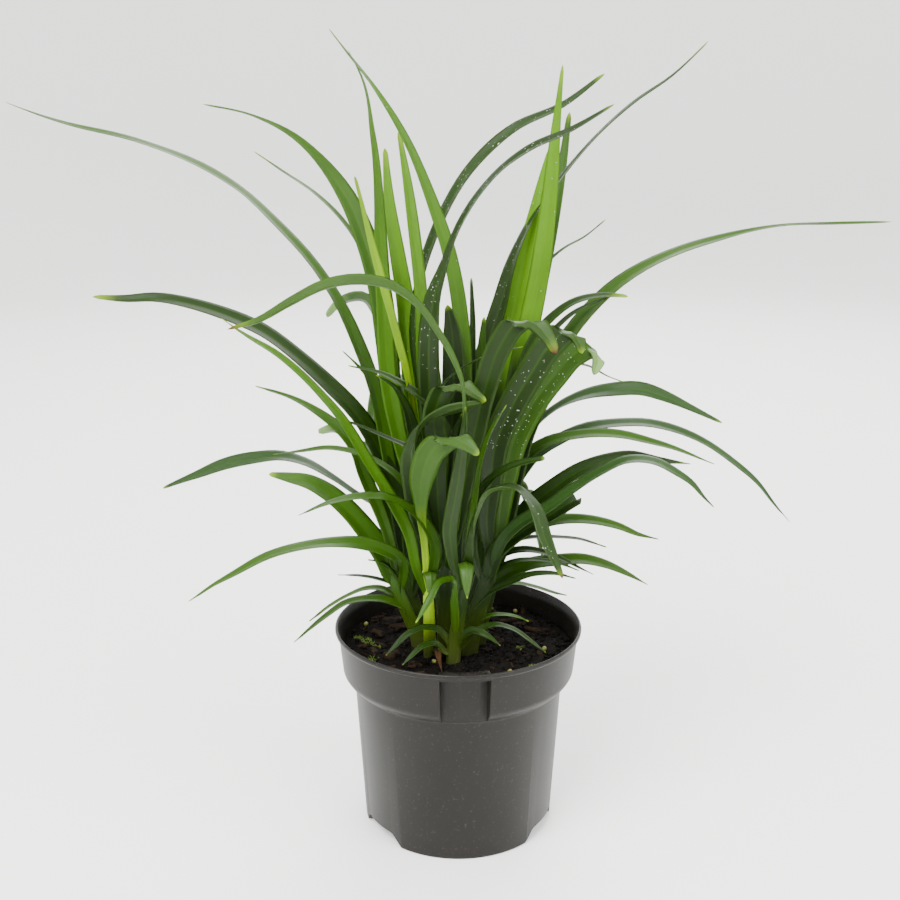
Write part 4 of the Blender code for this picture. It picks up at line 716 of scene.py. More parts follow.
def grid(bm, columns, rows):
    """The points of a new grid, each with its column and its row."""
    made = bmesh.ops.create_grid(bm, x_segments=columns, y_segments=rows, size=1.0)["verts"]
    return [(vert, round((vert.co.x + 1.0) / 2 * columns), round((vert.co.y + 1.0) / 2 * rows))
            for vert in made]


def round_axis(radius, angle, height):
    """A point at so many degrees from the front, positive to the right."""
    turn = math.radians(angle)
    return (radius * math.sin(turn), -radius * math.cos(turn), height)


def swept(name, angles, outline, group, steps):
    """A closed (radius, height) outline swept round the pot's axis between two angles."""
    bm = bmesh.new()
    loft(bm, [[round_axis(radius, angle, height) for radius, height in outline]
              for angle in np.linspace(angles[0], angles[1], steps + 1)])
    return object_from(bm, name, group)


# ---------------------------------------------------------------- pot

def wall_radius(height):
    """Outer radius of the tapered body."""
    return FOOT_RADIUS + (BODY_TOP_RADIUS - FOOT_RADIUS) * height / BODY_TOP


def pot_inside():
    """Points of the pot's inner wall from the base plate up to the collar's top."""
    return [
        (wall_radius(BASE_PLATE_TOP) - WALL, BASE_PLATE_TOP),
        (BODY_TOP_RADIUS - WALL, BODY_TOP + WALL / 2),
        (COLLAR_FOOT_RADIUS - WALL, COLLAR_FOOT + WALL),
        (COLLAR_LOW_RADIUS - WALL - COLLAR_SWELL, COLLAR_FOOT + WALL + COLLAR_ROUND),
        (COLLAR_LOW_RADIUS - WALL, COLLAR_FOOT + WALL + 2 * COLLAR_ROUND),
        (COLLAR_TOP_RADIUS - WALL, COLLAR_TOP),
    ]


def pot_profile():
    """Points round the pot's section: up its inside, over the lip and down its outside."""
    plate_under = BASE_PLATE_TOP - BASE_PLATE
    lip = [(LIP_RADIUS + out, POT_HEIGHT + up) for out, up in LIP_OUTLINE]
    upper = [(0.0, BASE_PLATE_TOP)] + pot_inside() + lip + [
        (COLLAR_TOP_RADIUS + LIP_ROOT[0], COLLAR_TOP + LIP_ROOT[1]),
        (COLLAR_TOP_RADIUS, COLLAR_TOP),
        (COLLAR_LOW_RADIUS, COLLAR_FOOT + 2 * COLLAR_ROUND),
        (COLLAR_LOW_RADIUS - COLLAR_SWELL, COLLAR_FOOT + COLLAR_ROUND),
        (COLLAR_FOOT_RADIUS, COLLAR_FOOT),
        (BODY_TOP_RADIUS, BODY_TOP - WALL / 2),
        (FOOT_RADIUS, 0.0),
        (FOOT_RADIUS - FOOT_WIDTH, 0.0),
        (wall_radius(plate_under) - WALL, plate_under),
        (0.0, plate_under),
    ]
    return softened(upper, PROFILE_ROUND)


def recess_angles(margin):
    """Ends of the label recess, each pushed out by a margin in millimetres."""
    spread = math.degrees(margin / PANEL_RADIUS)
    left = math.degrees(math.asin(RECESS_LEFT / COLLAR_TOP_RADIUS))
    right = math.degrees(math.asin(RECESS_RIGHT / COLLAR_TOP_RADIUS))
    return left - spread, right + spread


def build_pot(settings):
    profile = [(radius * MM, height * MM) for radius, height in pot_profile()]
    pot = object_from(spun(profile, settings.steps, MERGE * MM), "pot")
    tools = collection("pot_tools")

    # The recess panel is a second wall behind the collar, joined first and then opened from outside
    panel_back = PANEL_RADIUS - PANEL_WALL
    shoulder, *mid_wall = [(radius + WALL / 2, height) for radius, height in pot_inside()[1:]]
    swept("recess_backing", recess_angles(PANEL_WALL),
          mid_wall + [(mid_wall[-1][0], BAR_TOP), (panel_back, BAR_TOP), (panel_back, shoulder[1])],
          "pot_tools", RECESS_STEPS + 1)
    boolean(pot, "UNION", tools)
    outside, above = LIP_RADIUS + CUT_PAST, BAR_TOP + SLOT_OPEN
    swept("recess_window", recess_angles(0.0),
          [(PANEL_RADIUS, RECESS_LOW), (outside, RECESS_LOW), (outside, RECESS_TOP),
           (SLOT_RADIUS, RECESS_TOP), (SLOT_RADIUS, above), (PANEL_RADIUS, above)],
          "pot_tools", RECESS_STEPS)
    boolean(pot, "DIFFERENCE", tools)
    half_rib = math.degrees(SLOT_RIB_WIDTH / 2 / PANEL_RADIUS)
    for index, place in enumerate(SLOT_RIB_X):
        middle = math.degrees(math.asin(place / PANEL_RADIUS))
        inner, outer = PANEL_RADIUS - RIB_SINK, SLOT_RADIUS + RIB_SINK
        swept(f"slot_rib_{index}", (middle - half_rib, middle + half_rib),
              [(inner, RECESS_TOP - RIB_BELOW), (outer, RECESS_TOP - RIB_BELOW),
               (outer, RECESS_TOP + RIB_ABOVE), (inner, RECESS_TOP + RIB_ABOVE)], "pot_tools", 2)
    boolean(pot, "UNION", tools)

    for index, angle in enumerate(NOTCH_ANGLES):
        wide, narrow = NOTCH_HALF_ANGLE, NOTCH_HALF_ANGLE - NOTCH_LEAN
        shape = softened([(-wide, -1.0), (-narrow, NOTCH_HEIGHT), (narrow, NOTCH_HEIGHT), (wide, -1.0)],
                         NOTCH_ROUND, 5, closed=True)
        bm = bmesh.new()
        loft(bm, [[round_axis(radius, angle + side, height) for side, height in shape]
                  for radius in (FOOT_RADIUS + reach for reach in NOTCH_REACH)])
        object_from(bm, f"drain_notch_{index}", "pot_tools")
        bm = bmesh.new()
        bmesh.ops.create_cone(bm, cap_ends=True, segments=DRAIN_SIDES, radius1=DRAIN_RADIUS * MM,
                              radius2=DRAIN_RADIUS * MM, depth=DRAIN_CUT * MM)
        bmesh.ops.translate(bm, verts=bm.verts, vec=Vector(round_axis(DRAIN_CIRCLE, angle, BASE_PLATE_TOP))
                            * MM)
        object_from(bm, f"drain_hole_{index}", "pot_tools")
    boolean(pot, "DIFFERENCE", tools)
    bpy.data.collections.remove(tools)

    pot.data.shade_smooth()
    edge = pot.modifiers.new("Moulded edges", "BEVEL")
    edge.limit_method = "ANGLE"
    edge.angle_limit = math.radians(ROUND_FROM)
    edge.width = settings.edge_round
    edge.segments = 2
    apply_modifiers(pot)
    pot.data.set_sharp_from_angle(angle=math.radians(SHARP_FROM))
    settle(pot, pot_material(settings), "pot")


# ---------------------------------------------------------------- potting mix and what lies on it

def soil_height(x, y):
    """Uneven top of the mix, level among the stems and along the wall."""
    radius = math.hypot(x, y)
    rising = (radius - SOIL_FLAT[0]) / (SOIL_FLAT[1] - SOIL_FLAT[0])
    falling = (COLLAR_LOW_RADIUS - radius) / SOIL_EDGE
    fade = min(1.0, max(0.0, rising)) * min(1.0, max(0.0, falling))
    waves = math.sin(x * 0.13 + 1.0) + math.sin(y * 0.17 + x * 0.05) + math.sin((x - y) * 0.09 + 2.0)
    return SOIL_TOP + SOIL_RELIEF * fade * waves / 3


def mix_height(x, y):
    """The same top with its lumps."""
    lumps = sum(size * noise.noise(Vector((x, y, 0.0)) / width + Vector((0.0, 0.0, width)))
                for width, size in LUMPS)
    return soil_height(x, y) + lumps


def mix_radius(angle, height):
    """Outer radius of the mix: the pot's inner wall less a clearance, and the recess's back."""
    heights = [point[1] for point in pot_inside()]
    radii = [point[0] for point in pot_inside()]
    radius = float(np.interp(height, heights, radii)) - CLEARANCE
    low, high = recess_angles(PANEL_WALL + CLEARANCE)
    offset = (angle + 180.0) % 360.0 - 180.0
    if low <= offset <= high and height > RECESS_LOW:
        radius = min(radius, PANEL_RADIUS - PANEL_WALL - CLEARANCE)
    return radius


def build_mix(settings):
    """A closed body: rings of its crumbly top from the axis outwards, then its wall and its floor."""
    around, rings = settings.steps, settings.rings
    edge = MIX_WALL[0]
    bm = bmesh.new()
    for vert, column, row in grid(bm, around, rings + len(MIX_WALL) + 1):
        angle = column / around * 360.0
        if row <= rings:
            radius = mix_radius(angle, edge) * (row / rings) ** 0.85
            x, y, _ = round_axis(radius, angle, 0.0)
            height = mix_height(x, y) if 0 < row < rings else SOIL_TOP
        elif row <= rings + len(MIX_WALL):
            height = MIX_WALL[row - rings - 1]
            radius = mix_radius(angle, height)
        else:
            height, radius = MIX_WALL[-1], 0.0
        vert.co = Vector(round_axis(radius, angle, height)) * MM
    bmesh.ops.remove_doubles(bm, verts=bm.verts, dist=MERGE * MM)
    mix = object_from(bm, "potting_mix")
    settle(mix, mix_material("dark bark and peat", settings.peat_colour, settings.fibre_colour, settings),
           "potting_mix")


def open_places(rng, count, reach, gap):
    """Random places on the mix, clear of the stems and the wall."""
    found = []
    while len(found) < count:
        radius, angle = reach * math.sqrt(rng.random()), rng.uniform(0.0, 360.0)
        x, y, _ = round_axis(radius, angle, 0.0)
        if radius > mix_radius(angle, SOIL_TOP) - gap:
            continue
        clear = all(math.hypot((x - shoot.base[0]) / (shoot.width / 2 + gap),
                               (y - shoot.base[1]) / (STEM_THICKNESS / 2 + gap)) > 1.0 for shoot in SHOOTS)
        if clear:
            found.append((x, y))
    return found


def add_lump(bm, rng, place, size, sink=0.25, rough=0.22, subdivisions=2):
    """One irregular grain resting in the mix, sunk by a share of its height."""
    x, y = place
    turn = Euler([rng.uniform(-0.5, 0.5), rng.uniform(-0.5, 0.5), rng.uniform(0.0, 6.28)]).to_matrix()
    middle = Vector((x, y, mix_height(x, y) + size[2] * (0.5 - sink)))
    for vert in bmesh.ops.create_icosphere(bm, subdivisions=subdivisions, radius=1.0)["verts"]:
        push = 1.0 + rng.uniform(-rough, rough)
        shape = Vector((vert.co.x * size[0] / 2, vert.co.y * size[1] / 2, vert.co.z * size[2] / 2)) * push
        vert.co = (middle + turn @ shape) * MM


def add_chip(bm, rng, place, size, turn, tilt):
    """One flat splinter of bark: eight-sided sections of uneven width, with split ends."""
    x, y = place
    spin = Euler((tilt[0], tilt[1], turn)).to_matrix()
    middle = Vector((x, y, mix_height(x, y) + size[2] * 0.45))
    rings = []
    for along in CHIP_ALONG:
        end = abs(along) == 0.5
        wide = size[1] * rng.uniform(0.8, 1.05) * (0.55 if end else 1.0) / 2
        high = size[2] * rng.uniform(0.8, 1.1) * (0.6 if end else 1.0) / 2
        shift = rng.uniform(-0.08, 0.08) * size[1]
        ring = []
        for across, up in CHIP_SECTION:
            place_on = Vector((along * size[0], across * wide + shift, up * high * rng.uniform(0.85, 1.1)))
            ring.append(middle + spin @ place_on)
        rings.append(ring)
    loft(bm, rings)


def build_crumbs(settings):
    rng = random.Random(settings.seed)
    bm = bmesh.new()
    for place in open_places(rng, settings.crumb_count, CRUMB_REACH, CRUMB_GAP):
        size = rng.uniform(1.2, 3.4)
        add_lump(bm, rng, place, (size * rng.uniform(0.8, 1.5), size, size * rng.uniform(0.5, 0.9)),
                 subdivisions=1)
    crumbs = object_from(bm, "mix_crumbs", smooth=False)
    settle(crumbs, mix_material("peat crumbs", settings.peat_colour, settings.crumb_colour, settings))


def build_chips(settings):
    """Bark chips: the ones that can be told apart, then loose ones all over."""
    rng = random.Random(settings.seed + 1)
    bm = bmesh.new()
    for place, size, turn, tilt in MARKED_CHIPS:
        add_chip(bm, rng, place, size, turn, tilt)
    for place in open_places(rng, settings.chip_count, CHIP_REACH, CHIP_GAP):
        length = rng.uniform(3.0, 9.0)
        add_chip(bm, rng, place, (length, length * rng.uniform(0.25, 0.6), rng.uniform(0.8, 1.8)),
                 rng.uniform(0, 6.28), (rng.uniform(-0.4, 0.4), rng.uniform(-0.3, 0.3)))
    chips = object_from(bm, "bark_chips", smooth=False)
    settle(chips, mix_material("pine bark", settings.bark_dark, settings.bark_light, settings))


def build_prills(settings):
    rng = random.Random(settings.seed + 2)
    bm = bmesh.new()
    for place in PRILLS:
        add_lump(bm, rng, place, (settings.prill / MM,) * 3, sink=0.1, rough=0.03)
    prills = object_from(bm, "fertiliser_prills")
    settle(prills, plain_material("coated fertiliser", settings.prill_colour, 0.35, variation=0.15))


def build_moss(settings):
    """Small tufts of leaflets, each leaflet a thin cone that leans outwards."""
    rng = random.Random(settings.seed + 3)
    bm = bmesh.new()
    for x, y, reach in MOSS:
        for _ in range(int(LEAFLETS * reach)):
            angle, out = rng.uniform(0, 6.28), reach * math.sqrt(rng.random())
            px, py = x + out * math.cos(angle), y + out * math.sin(angle)
            lean = Euler((rng.uniform(-0.8, 0.8), rng.uniform(-0.8, 0.8), angle)).to_matrix().to_4x4()
            root = Vector((px, py, mix_height(px, py) + 0.5)) * MM
            bmesh.ops.create_cone(bm, cap_ends=True, segments=4, radius1=LEAFLET_FOOT * MM,
                                  radius2=LEAFLET_TIP * MM, depth=rng.uniform(1.6, 2.8) * MM,
                                  matrix=Matrix.Translation(root) @ lean)
    moss = object_from(bm, "moss_tufts", smooth=False)
    settle(moss, plain_material("moss", settings.moss_colour, 0.8, variation=0.4, scale=900.0))


# ---------------------------------------------------------------- shoots

def seen(x, z, y):
    """Slide a point of the plane y = 0 along its line of sight to the depth y."""
    on_plane = np.array([x, 0.0, z])
    return EYE + (on_plane - EYE) * (y - EYE[1]) / -EYE[1]


def unseen(point):
    """Where a point is seen against the plane y = 0."""
    point = np.array(point, dtype=float)
    on_plane = EYE + (point - EYE) * -EYE[1] / (point[1] - EYE[1])
    return on_plane[0], on_plane[2]


def hermite(t, start, leaving, end, arriving):
    """A smooth step from start to end, with its slopes at both."""
    return (start * (2 * t**3 - 3 * t**2 + 1) + leaving * (t**3 - 2 * t**2 + t)
            + end * (3 * t**2 - 2 * t**3) + arriving * (t**3 - t**2))


def lengths_along(points):
    """How far each point of a line lies from its first."""
    return np.concatenate([[0.0], np.cumsum(np.linalg.norm(np.diff(points, axis=0), axis=1))])


def smooth_path(points, fractions):
    """Points of a smooth curve through the given ones, at fractions of its length."""
    points = np.array(points, dtype=float)
    chords = np.linalg.norm(np.diff(points, axis=0), axis=1)
    knots = lengths_along(points)
    slopes = np.diff(points, axis=0) / chords[:, None]
    tangents = np.empty_like(points)
    tangents[0], tangents[-1] = slopes[0], slopes[-1]
    before, after = chords[:-1, None], chords[1:, None]
    tangents[1:-1] = (slopes[:-1] * after + slopes[1:] * before) / (before + after)
    where = np.array(fractions) * knots[-1]
    index = np.clip(np.searchsorted(knots, where, side="right") - 1, 0, len(chords) - 1)
    span = chords[index][:, None]
    t = ((where - knots[index]) / chords[index])[:, None]
    return hermite(t, points[index], tangents[index] * span, points[index + 1], tangents[index + 1] * span)


def smooth_values(values, fractions):
    """Values along a smooth curve that eases where they change fast."""
    steps = np.linspace(0.0, 1.0, len(values))
    return smooth_path(np.column_stack([steps, values]), fractions)[:, 1]


def even_values(values, fractions):
    """Values given at even steps, read smoothly at fractions of the whole."""
    values = np.array(values, dtype=float)
    where = np.array(fractions, dtype=float) * (len(values) - 1)
    index = np.minimum(where.astype(int), len(values) - 2)
    slopes = np.gradient(values)
    return hermite(where - index, values[index], slopes[index], values[index + 1], slopes[index + 1])


def stem_axis(shoot):
    """(point, share of the full size) up the stem: straight in the mix, then along its seen path."""
    x, y = shoot.base
    marks = [(np.array([x, y, SOIL_TOP + STEM_UPRIGHT]), 1.0)]
    count = len(shoot.stem)
    for index, (seen_x, seen_z) in enumerate(shoot.stem[1:], start=2):
        part = index / count
        marks.append((seen(seen_x, seen_z, y + (shoot.depth - y) * part), 1.0 - STEM_TAPER * part**2))
    return marks


def leaf_root(shoot, first, order):
    """The point on the stem's axis that a leaf grows from."""
    axis = [point for point, _ in stem_axis(shoot)]
    low, high = axis[0][2], axis[-1][2]
    aim = seen(first[0], first[1], shoot.depth)
    height = min(max(aim[2] - ROOT_BELOW, low + ROOT_LOWEST), high - ROOT_HIGHEST)
    xs, ys, zs = np.array(axis).T
    x, y = float(np.interp(height, zs, xs)), float(np.interp(height, zs, ys))
    side = max(-1.0, min(1.0, (aim[0] - x) / AIM_ASIDE))
    layer = LAYER_STEP * (len(shoot.leaves) / 2 - order)
    return np.array([x + side * shoot.width * ROOT_ASIDE, y + layer, height])


def folds_over(leaf):
    """Such a leaf folds over toward the eye where its path bends most."""
    return isinstance(leaf, Leaf) and leaf.turn[-1] > FOLDED


def leaf_track(shoot, leaf):
    """Close points along a leaf's keel, and the share of its length where it folds over."""
    root = leaf_root(shoot, leaf.path[0], shoot.leaves.index(leaf))
    fine = np.linspace(0.0, 1.0, TRACK_POINTS)
    track = smooth_path([unseen(root)] + list(leaf.path), fine)
    depths = smooth_values((root[1], *leaf.depth), fine)
    bend = len(fine) - 1
    if folds_over(leaf):
        steps = np.diff(track, axis=0)
        headings = np.unwrap(np.arctan2(steps[:, 1], steps[:, 0]))
        swings = np.abs(headings[FOLD_FROM + FOLD_SPAN:] - headings[FOLD_FROM:-FOLD_SPAN])
        bend = FOLD_FROM + FOLD_SPAN // 2 + 1 + int(np.argmax(swings))
        depths = depths - FOLD_STEP * np.clip((fine - fine[bend]) / 0.02 + 0.5, 0.0, 1.0)
    solid = np.array([seen(x, z, y) for (x, z), y in zip(track, depths)])
    lengths = lengths_along(solid)
    return solid, lengths[bend] / lengths[-1]


def leaf_midrib(shoot, leaf, fractions):
    """Points along the leaf's keel from its root in the stem to its tip."""
    order = shoot.leaves.index(leaf)
    if isinstance(leaf, Arch):
        top_of_stem = unseen(stem_axis(shoot)[-1][0])
        root = leaf_root(shoot, (top_of_stem[0], top_of_stem[1] + ARCH_AIM), order)
        turn = math.radians(leaf.heading)
        away = np.array([math.sin(turn), math.cos(turn), 0.0]) * leaf.reach
        up = np.array([0.0, 0.0, 1.0])
        between = [root + away * out + up * (leaf.top - root[2]) * rise for out, rise in ARCH_SHAPE]
        return smooth_path([root, *between, root + away + up * (leaf.tip_height - root[2])], fractions)
    return smooth_path(leaf_track(shoot, leaf)[0], fractions)


def leaf_width(leaf, part):
    """Width at a share of the length, closed round at the tip and narrow where it leaves the stem."""
    if isinstance(leaf.width, tuple):
        width = float(even_values(leaf.width, [part])[0])
    else:
        opening = OPENING + (1.0 - OPENING) * min(1.0, part / OPEN_FROM)
        taper = max(0.0, (part - TAPER_FROM) / (1.0 - TAPER_FROM)) ** TAPER_POWER
        width = leaf.width * opening * (1.0 - taper)
    blunt = math.sqrt(min(1.0, max(0.0, 1.0 - part) / TIP_LENGTH))
    return max(blunt, width * blunt) * (NECK + (1.0 - NECK) * min(1.0, part / ROOT_LENGTH))


def unit(vector):
    return vector / np.linalg.norm(vector)


def leaf_frames(shoot, leaf, spine, fractions):
    """Across and face directions at each spine point."""
    headings = np.gradient(spine, axis=0)
    frames = []
    if isinstance(leaf, Arch):
        turn = math.radians(leaf.heading)
        level = np.array([math.cos(turn), -math.sin(turn), 0.0])
        level = level if level[0] >= 0 else -level
        for part, heading in zip(fractions, headings):
            blend = min(1.0, part / ARCH_TURNING)
            across = unit(np.array([1.0, 0.0, 0.0]) * (1 - blend) + level * blend)
            heading = unit(heading)
            across = unit(across - heading * across.dot(heading))
            frames.append((across, np.cross(across, heading)))
        return frames
    turns = even_values((0.0, *leaf.turn), fractions)
    if folds_over(leaf):
        share = leaf_track(shoot, leaf)[1]
        before = even_values((0.0, *leaf.turn[:-1]), np.minimum(1.0, fractions / share))
        turns = np.where(fractions < share, before, leaf.turn[-1])
    leftward = -1.0 if leaf.path[-1][0] < leaf.path[0][0] else 1.0
    for point, heading, turn in zip(spine, headings, np.radians(turns)):
        heading = unit(heading)
        view = unit(point - EYE)
        side = unit(np.cross(heading, view))
        toward = unit(heading * view.dot(heading) - view)
        face = toward * math.cos(turn) + side * leftward * math.sin(turn)
        frames.append((np.cross(heading, face), face))
    if folds_over(leaf):
        lengths = lengths_along(spine)
        bend = np.interp(share, fractions, lengths)
        reach = min(FOLD_REACH, 0.75 * (lengths[-1] - bend))
        inside = np.flatnonzero(np.abs(lengths - bend) < reach)
        first, last = frames[inside[0] - 1][0], frames[inside[-1] + 1][0]
        for row in inside:
            blend = min(1.0, max(0.0, 0.5 + (lengths[row] - bend) / (2 * reach)))
            across = unit(first * (1 - blend) + last * blend)
            stretch = across.dot(first if blend < 0.5 else last)
            frames[row] = (across / stretch, unit(np.cross(across, headings[row])))
    return frames


def mixed(first, second, share):
    share = min(1.0, max(0.0, share))
    return tuple(a * (1 - share) + b * share for a, b in zip(first, second))


def foot_colour(settings, place, colour, part=0.0):
    """The green of a shoot from its foot in the mix up to where its leaves take their own colour, darkened
    by painted shade inside the clump."""
    above = place[2] - SOIL_TOP
    foot = mixed(settings.sheath_foot, settings.base_green, above / FOOT_GREEN)
    colour = mixed(foot, colour, max((above - OWN_GREEN_FROM) / OWN_GREEN_OVER, (part - 0.1) / 0.3))
    # Painted shade: the colour is darkened near the clump's middle and below its top
    away = math.hypot(place[0] - CLUMP_MIDDLE[0], place[1] - CLUMP_MIDDLE[1]) / CLUMP_RADIUS
    depth = math.exp(-away**2) * min(1.0, max(0.0, (CLUMP_TOP - place[2]) / CLUMP_FADE))
    return scaled(colour, 1.0 - CLUMP_SHADE * depth)


def leaf_colour(settings, leaf, part, place, s, upper, shade):
    """Green of one point of a leaf: paler at its base and midrib, greyer below, its tip turning."""
    colour = getattr(settings, f"{leaf.tone}_green")
    if leaf.tone == "stalk":
        colour = mixed(colour, settings.leaf_green, (part - 0.12) / 0.35)
    elif leaf.tone == "upright":
        # Painted shade: the foot of an upright leaf takes the dark green, as if in the clump's shade, and
        # turns to its bright green above
        colour = mixed(settings.dark_green, colour, (part - 0.42) / 0.12)
    colour = foot_colour(settings, place, colour, part)
    if not upper:
        colour = mixed(colour, settings.underside, 0.50 if leaf.tone in ("grey", "dark") else 0.35)
    colour = mixed(colour, settings.midrib, 0.14 * max(0.0, 1.0 - abs(s) / 0.14))
    colour = mixed(colour, settings.margin, 0.25 * max(0.0, abs(s) - 0.8) / 0.2)
    for turning, start, span, most in TIPS[leaf.tip]:
        colour = mixed(colour, getattr(settings, turning), (part - start) / span * most)
    return scaled(colour, shade)


def leaf_mesh():
    """An empty bmesh for leaves: its points carry a tint, and its faces lie on the leaf's own map."""
    bm = bmesh.new()
    bm.verts.layers.float_color.new("leaf_tint")
    bm.loops.layers.uv.new("leaf_uv")
    return bm


def add_skin(bm, columns, rows, place):
    """A tube of leaf skin. place(column, row) gives a point, its colour and its place on the leaf's map."""
    tint = bm.verts.layers.float_color["leaf_tint"]
    uv = bm.loops.layers.uv["leaf_uv"]
    maps = {}
    for vert, column, row in grid(bm, columns, rows):
        point, colour, maps[vert] = place(column % columns, row)
        vert.co = Vector(point) * MM
        vert[tint] = opaque(colour)
    for face in {face for vert in maps for face in vert.link_faces}:
        for loop in face.loops:
            across, along = maps[loop.vert]
            loop[uv].uv = (across * MM, along * MM)
    bmesh.ops.remove_doubles(bm, verts=list(maps), dist=SKIN_MERGE * MM)


def finish_leaves(bm, settings, name, node=None):
    bmesh.ops.holes_fill(bm, edges=bm.edges, sides=0)
    material = bpy.data.materials.get("flax lily leaf") or leaf_material(settings)
    settle(object_from(bm, name), material, node)


def add_strip(bm, spine, frames, widths, folds, thickness, colour_at, lengths, half_nominal, ripple,
              phase=0.0, trim=None):
    """A thin folded strip, closed all round: rows of one section along the spine."""
    def place(column, row):
        s, upper = SECTION[column]
        across, face = frames[row]
        half, fold = widths[row] / 2, folds[row]
        # The two halves fold up from a midrib that is rounded, and the keel is thicker below it
        rise = math.sqrt(s * s + KEEL_ROUND) - math.sqrt(KEEL_ROUND)
        lift = half * rise * math.sin(fold)
        lift += ripple * s * abs(s) * math.sin(lengths[row] / 11.0 + phase + (2.0 if s > 0 else 0.0))
        if not upper:
            keel = KEEL_THICKNESS if abs(s) < 0.05 else 1.0
            lift -= thickness * min(1.0, half) * (1.0 - MARGIN_THINNING * abs(s)) * keel
        point = spine[row] + across * s * half * math.cos(fold) + face * (lift + thickness * 0.4)
        if trim:
            point = point + unit(spine[row - 1] - spine[row]) * trim(row, s)
        return point, colour_at(row, s, upper), (s * half_nominal, lengths[row])

    add_skin(bm, len(SECTION), len(spine) - 1, place)


def add_leaf(bm, settings, shoot, leaf, shade, phase):
    steps = np.linspace(0.0, 1.0, settings.rows + 1)
    fractions = 1.0 - (1.0 - steps) ** ROW_CROWDING
    spine = leaf_midrib(shoot, leaf, fractions)
    folds = [math.radians(FOLD_MIDDLE
                          + (FOLD_SHEATH - FOLD_MIDDLE) * max(0.0, 1 - part / SHEATH_LENGTH) ** 1.5)
             for part in fractions]

    def colour_at(row, s, upper):
        return leaf_colour(settings, leaf, fractions[row], spine[row], s, upper, shade)

    def torn(row, s):
        near_end = max(0.0, (fractions[row] - TORN_FROM) / (1.0 - TORN_FROM))
        return np.interp(s, TORN_ACROSS, TORN_DEPTH) * near_end

    add_strip(bm, spine, leaf_frames(shoot, leaf, spine, fractions),
              [leaf_width(leaf, part) for part in fractions], folds, settings.thickness / MM, colour_at,
              lengths_along(spine), np.max(leaf.width) / 2, 0.25, phase, torn if leaf.tip == "torn" else None)


def shoot_tone(shoot):
    """The tone that most of a shoot's leaves have, or the stalk's in the young shoot."""
    tones = [leaf.tone for leaf in shoot.leaves]
    if "stalk" in tones:
        return "stalk"
    return max(sorted(set(tones)), key=tones.count)


def add_stem(bm, settings, shoot):
    """The fan's foot: flattened sheaths round each other, seen as lengthwise ridges."""
    marks = stem_axis(shoot)
    points = [np.array([*shoot.base, SOIL_TOP - ROOT_DEPTH])] + [point for point, _ in marks]
    steps = np.linspace(0.0, 1.0, settings.stem_rows + 1)
    spine = smooth_path(points, steps)
    chords = lengths_along(points)
    scale = np.interp(steps * chords[-1], chords, [1.0] + [size for _, size in marks])
    around = settings.stem_sides
    green = getattr(settings, f"{shoot_tone(shoot)}_green")

    def place(column, row):
        turn = 2 * math.pi * column / around
        # The top narrows into the leaves that grow out of it
        close = min(1.0, (1.0 - steps[row]) / STEM_CLOSING + STEM_TOP_SHARE)
        size = scale[row] * close * (1.0 - GROOVE * (column % GROOVE_EVERY == 0)) / 2
        point = spine[row] + np.array([shoot.width * size * math.cos(turn),
                                       STEM_THICKNESS * size * math.sin(turn), 0.0])
        # The stem's colour carries the clump's painted shade as well
        colour = foot_colour(settings, point, green)
        return point, colour, (column / around * shoot.width * STEM_GIRTH, point[2])

    add_skin(bm, around, settings.stem_rows, place)


def build_shoot(settings, shoot, rng):
    bm = leaf_mesh()
    add_stem(bm, settings, shoot)
    for leaf in shoot.leaves:
        add_leaf(bm, settings, shoot, leaf, rng.uniform(0.90, 1.10), rng.uniform(0.0, 6.28))
    finish_leaves(bm, settings, shoot.name, shoot.name)


def build_husk(settings):
    """The dry papery sheath at the foot of the young shoot, leaning out over the mix."""
    bm = leaf_mesh()
    steps = np.linspace(0.0, 1.0, 25)
    spine = smooth_path(HUSK_PATH, steps)
    frames = []
    for heading in np.gradient(spine, axis=0):
        across = unit(np.cross(heading, np.array([0.15, -1.0, 0.6])))
        frames.append((across, unit(np.cross(across, heading))))
    widths = [HUSK_WIDTH * (0.75 + 0.25 * math.sin(part * 5.0)) * min(1.0, (1.0 - part) / 0.45 + 0.12)
              for part in steps]
    folds = [math.radians(38.0 - 20.0 * part) for part in steps]

    def colour_at(row, s, upper):
        return mixed(settings.husk_green, settings.husk_brown, steps[row] * 1.6 + 0.2 * abs(s))

    add_strip(bm, spine, frames, widths, folds, HUSK_THICKNESS, colour_at, steps * HUSK_LENGTH,
              HUSK_WIDTH * 0.75, 0.7)
    finish_leaves(bm, settings, "papery_husk")


def build_drops(settings):
    """Dew: flattened drops standing on the upper faces of a few leaves."""
    rng = random.Random(settings.seed)
    rows = np.linspace(0.0, 1.0, DEW_POINTS)
    bm = bmesh.new()
    for shoot in SHOOTS:
        for leaf in shoot.leaves:
            spine = leaf_midrib(shoot, leaf, rows)
            frames = leaf_frames(shoot, leaf, spine, rows)
            for _ in range(leaf.drops):
                row, on = rng.randrange(DEW_FIRST, DEW_LAST), rng.random()
                s = rng.uniform(-DEW_ACROSS, DEW_ACROSS)
                across, face = frames[row]
                half, fold = leaf_width(leaf, rows[row]) / 2, math.radians(FOLD_MIDDLE)
                middle = (spine[row] + (spine[row + 1] - spine[row]) * on
                          + across * s * half * math.cos(fold)
                          + face * (half * abs(s) * math.sin(fold) + 0.1))
                size = rng.uniform(0.3, 1.0) * settings.drop_size / MM / 2
                along = np.cross(face, across)
                for vert in bmesh.ops.create_icosphere(bm, subdivisions=2, radius=1.0)["verts"]:
                    x, y, z = vert.co
                    z = max(z, -DROP_FOOT) * DROP_FLATNESS
                    vert.co = Vector(middle + (across * x + along * y + face * z) * size) * MM
    # The drops' white base colour is a painted highlight: it makes them show as the whitish glints of dew
    material, _, shader = new_material("water", 0.06, 1.333, Transmission_Weight=0.7)
    shader.inputs["Base Color"].default_value = WHITE
    settle(object_from(bm, "dew_drops"), material)


# ---------------------------------------------------------------- stage

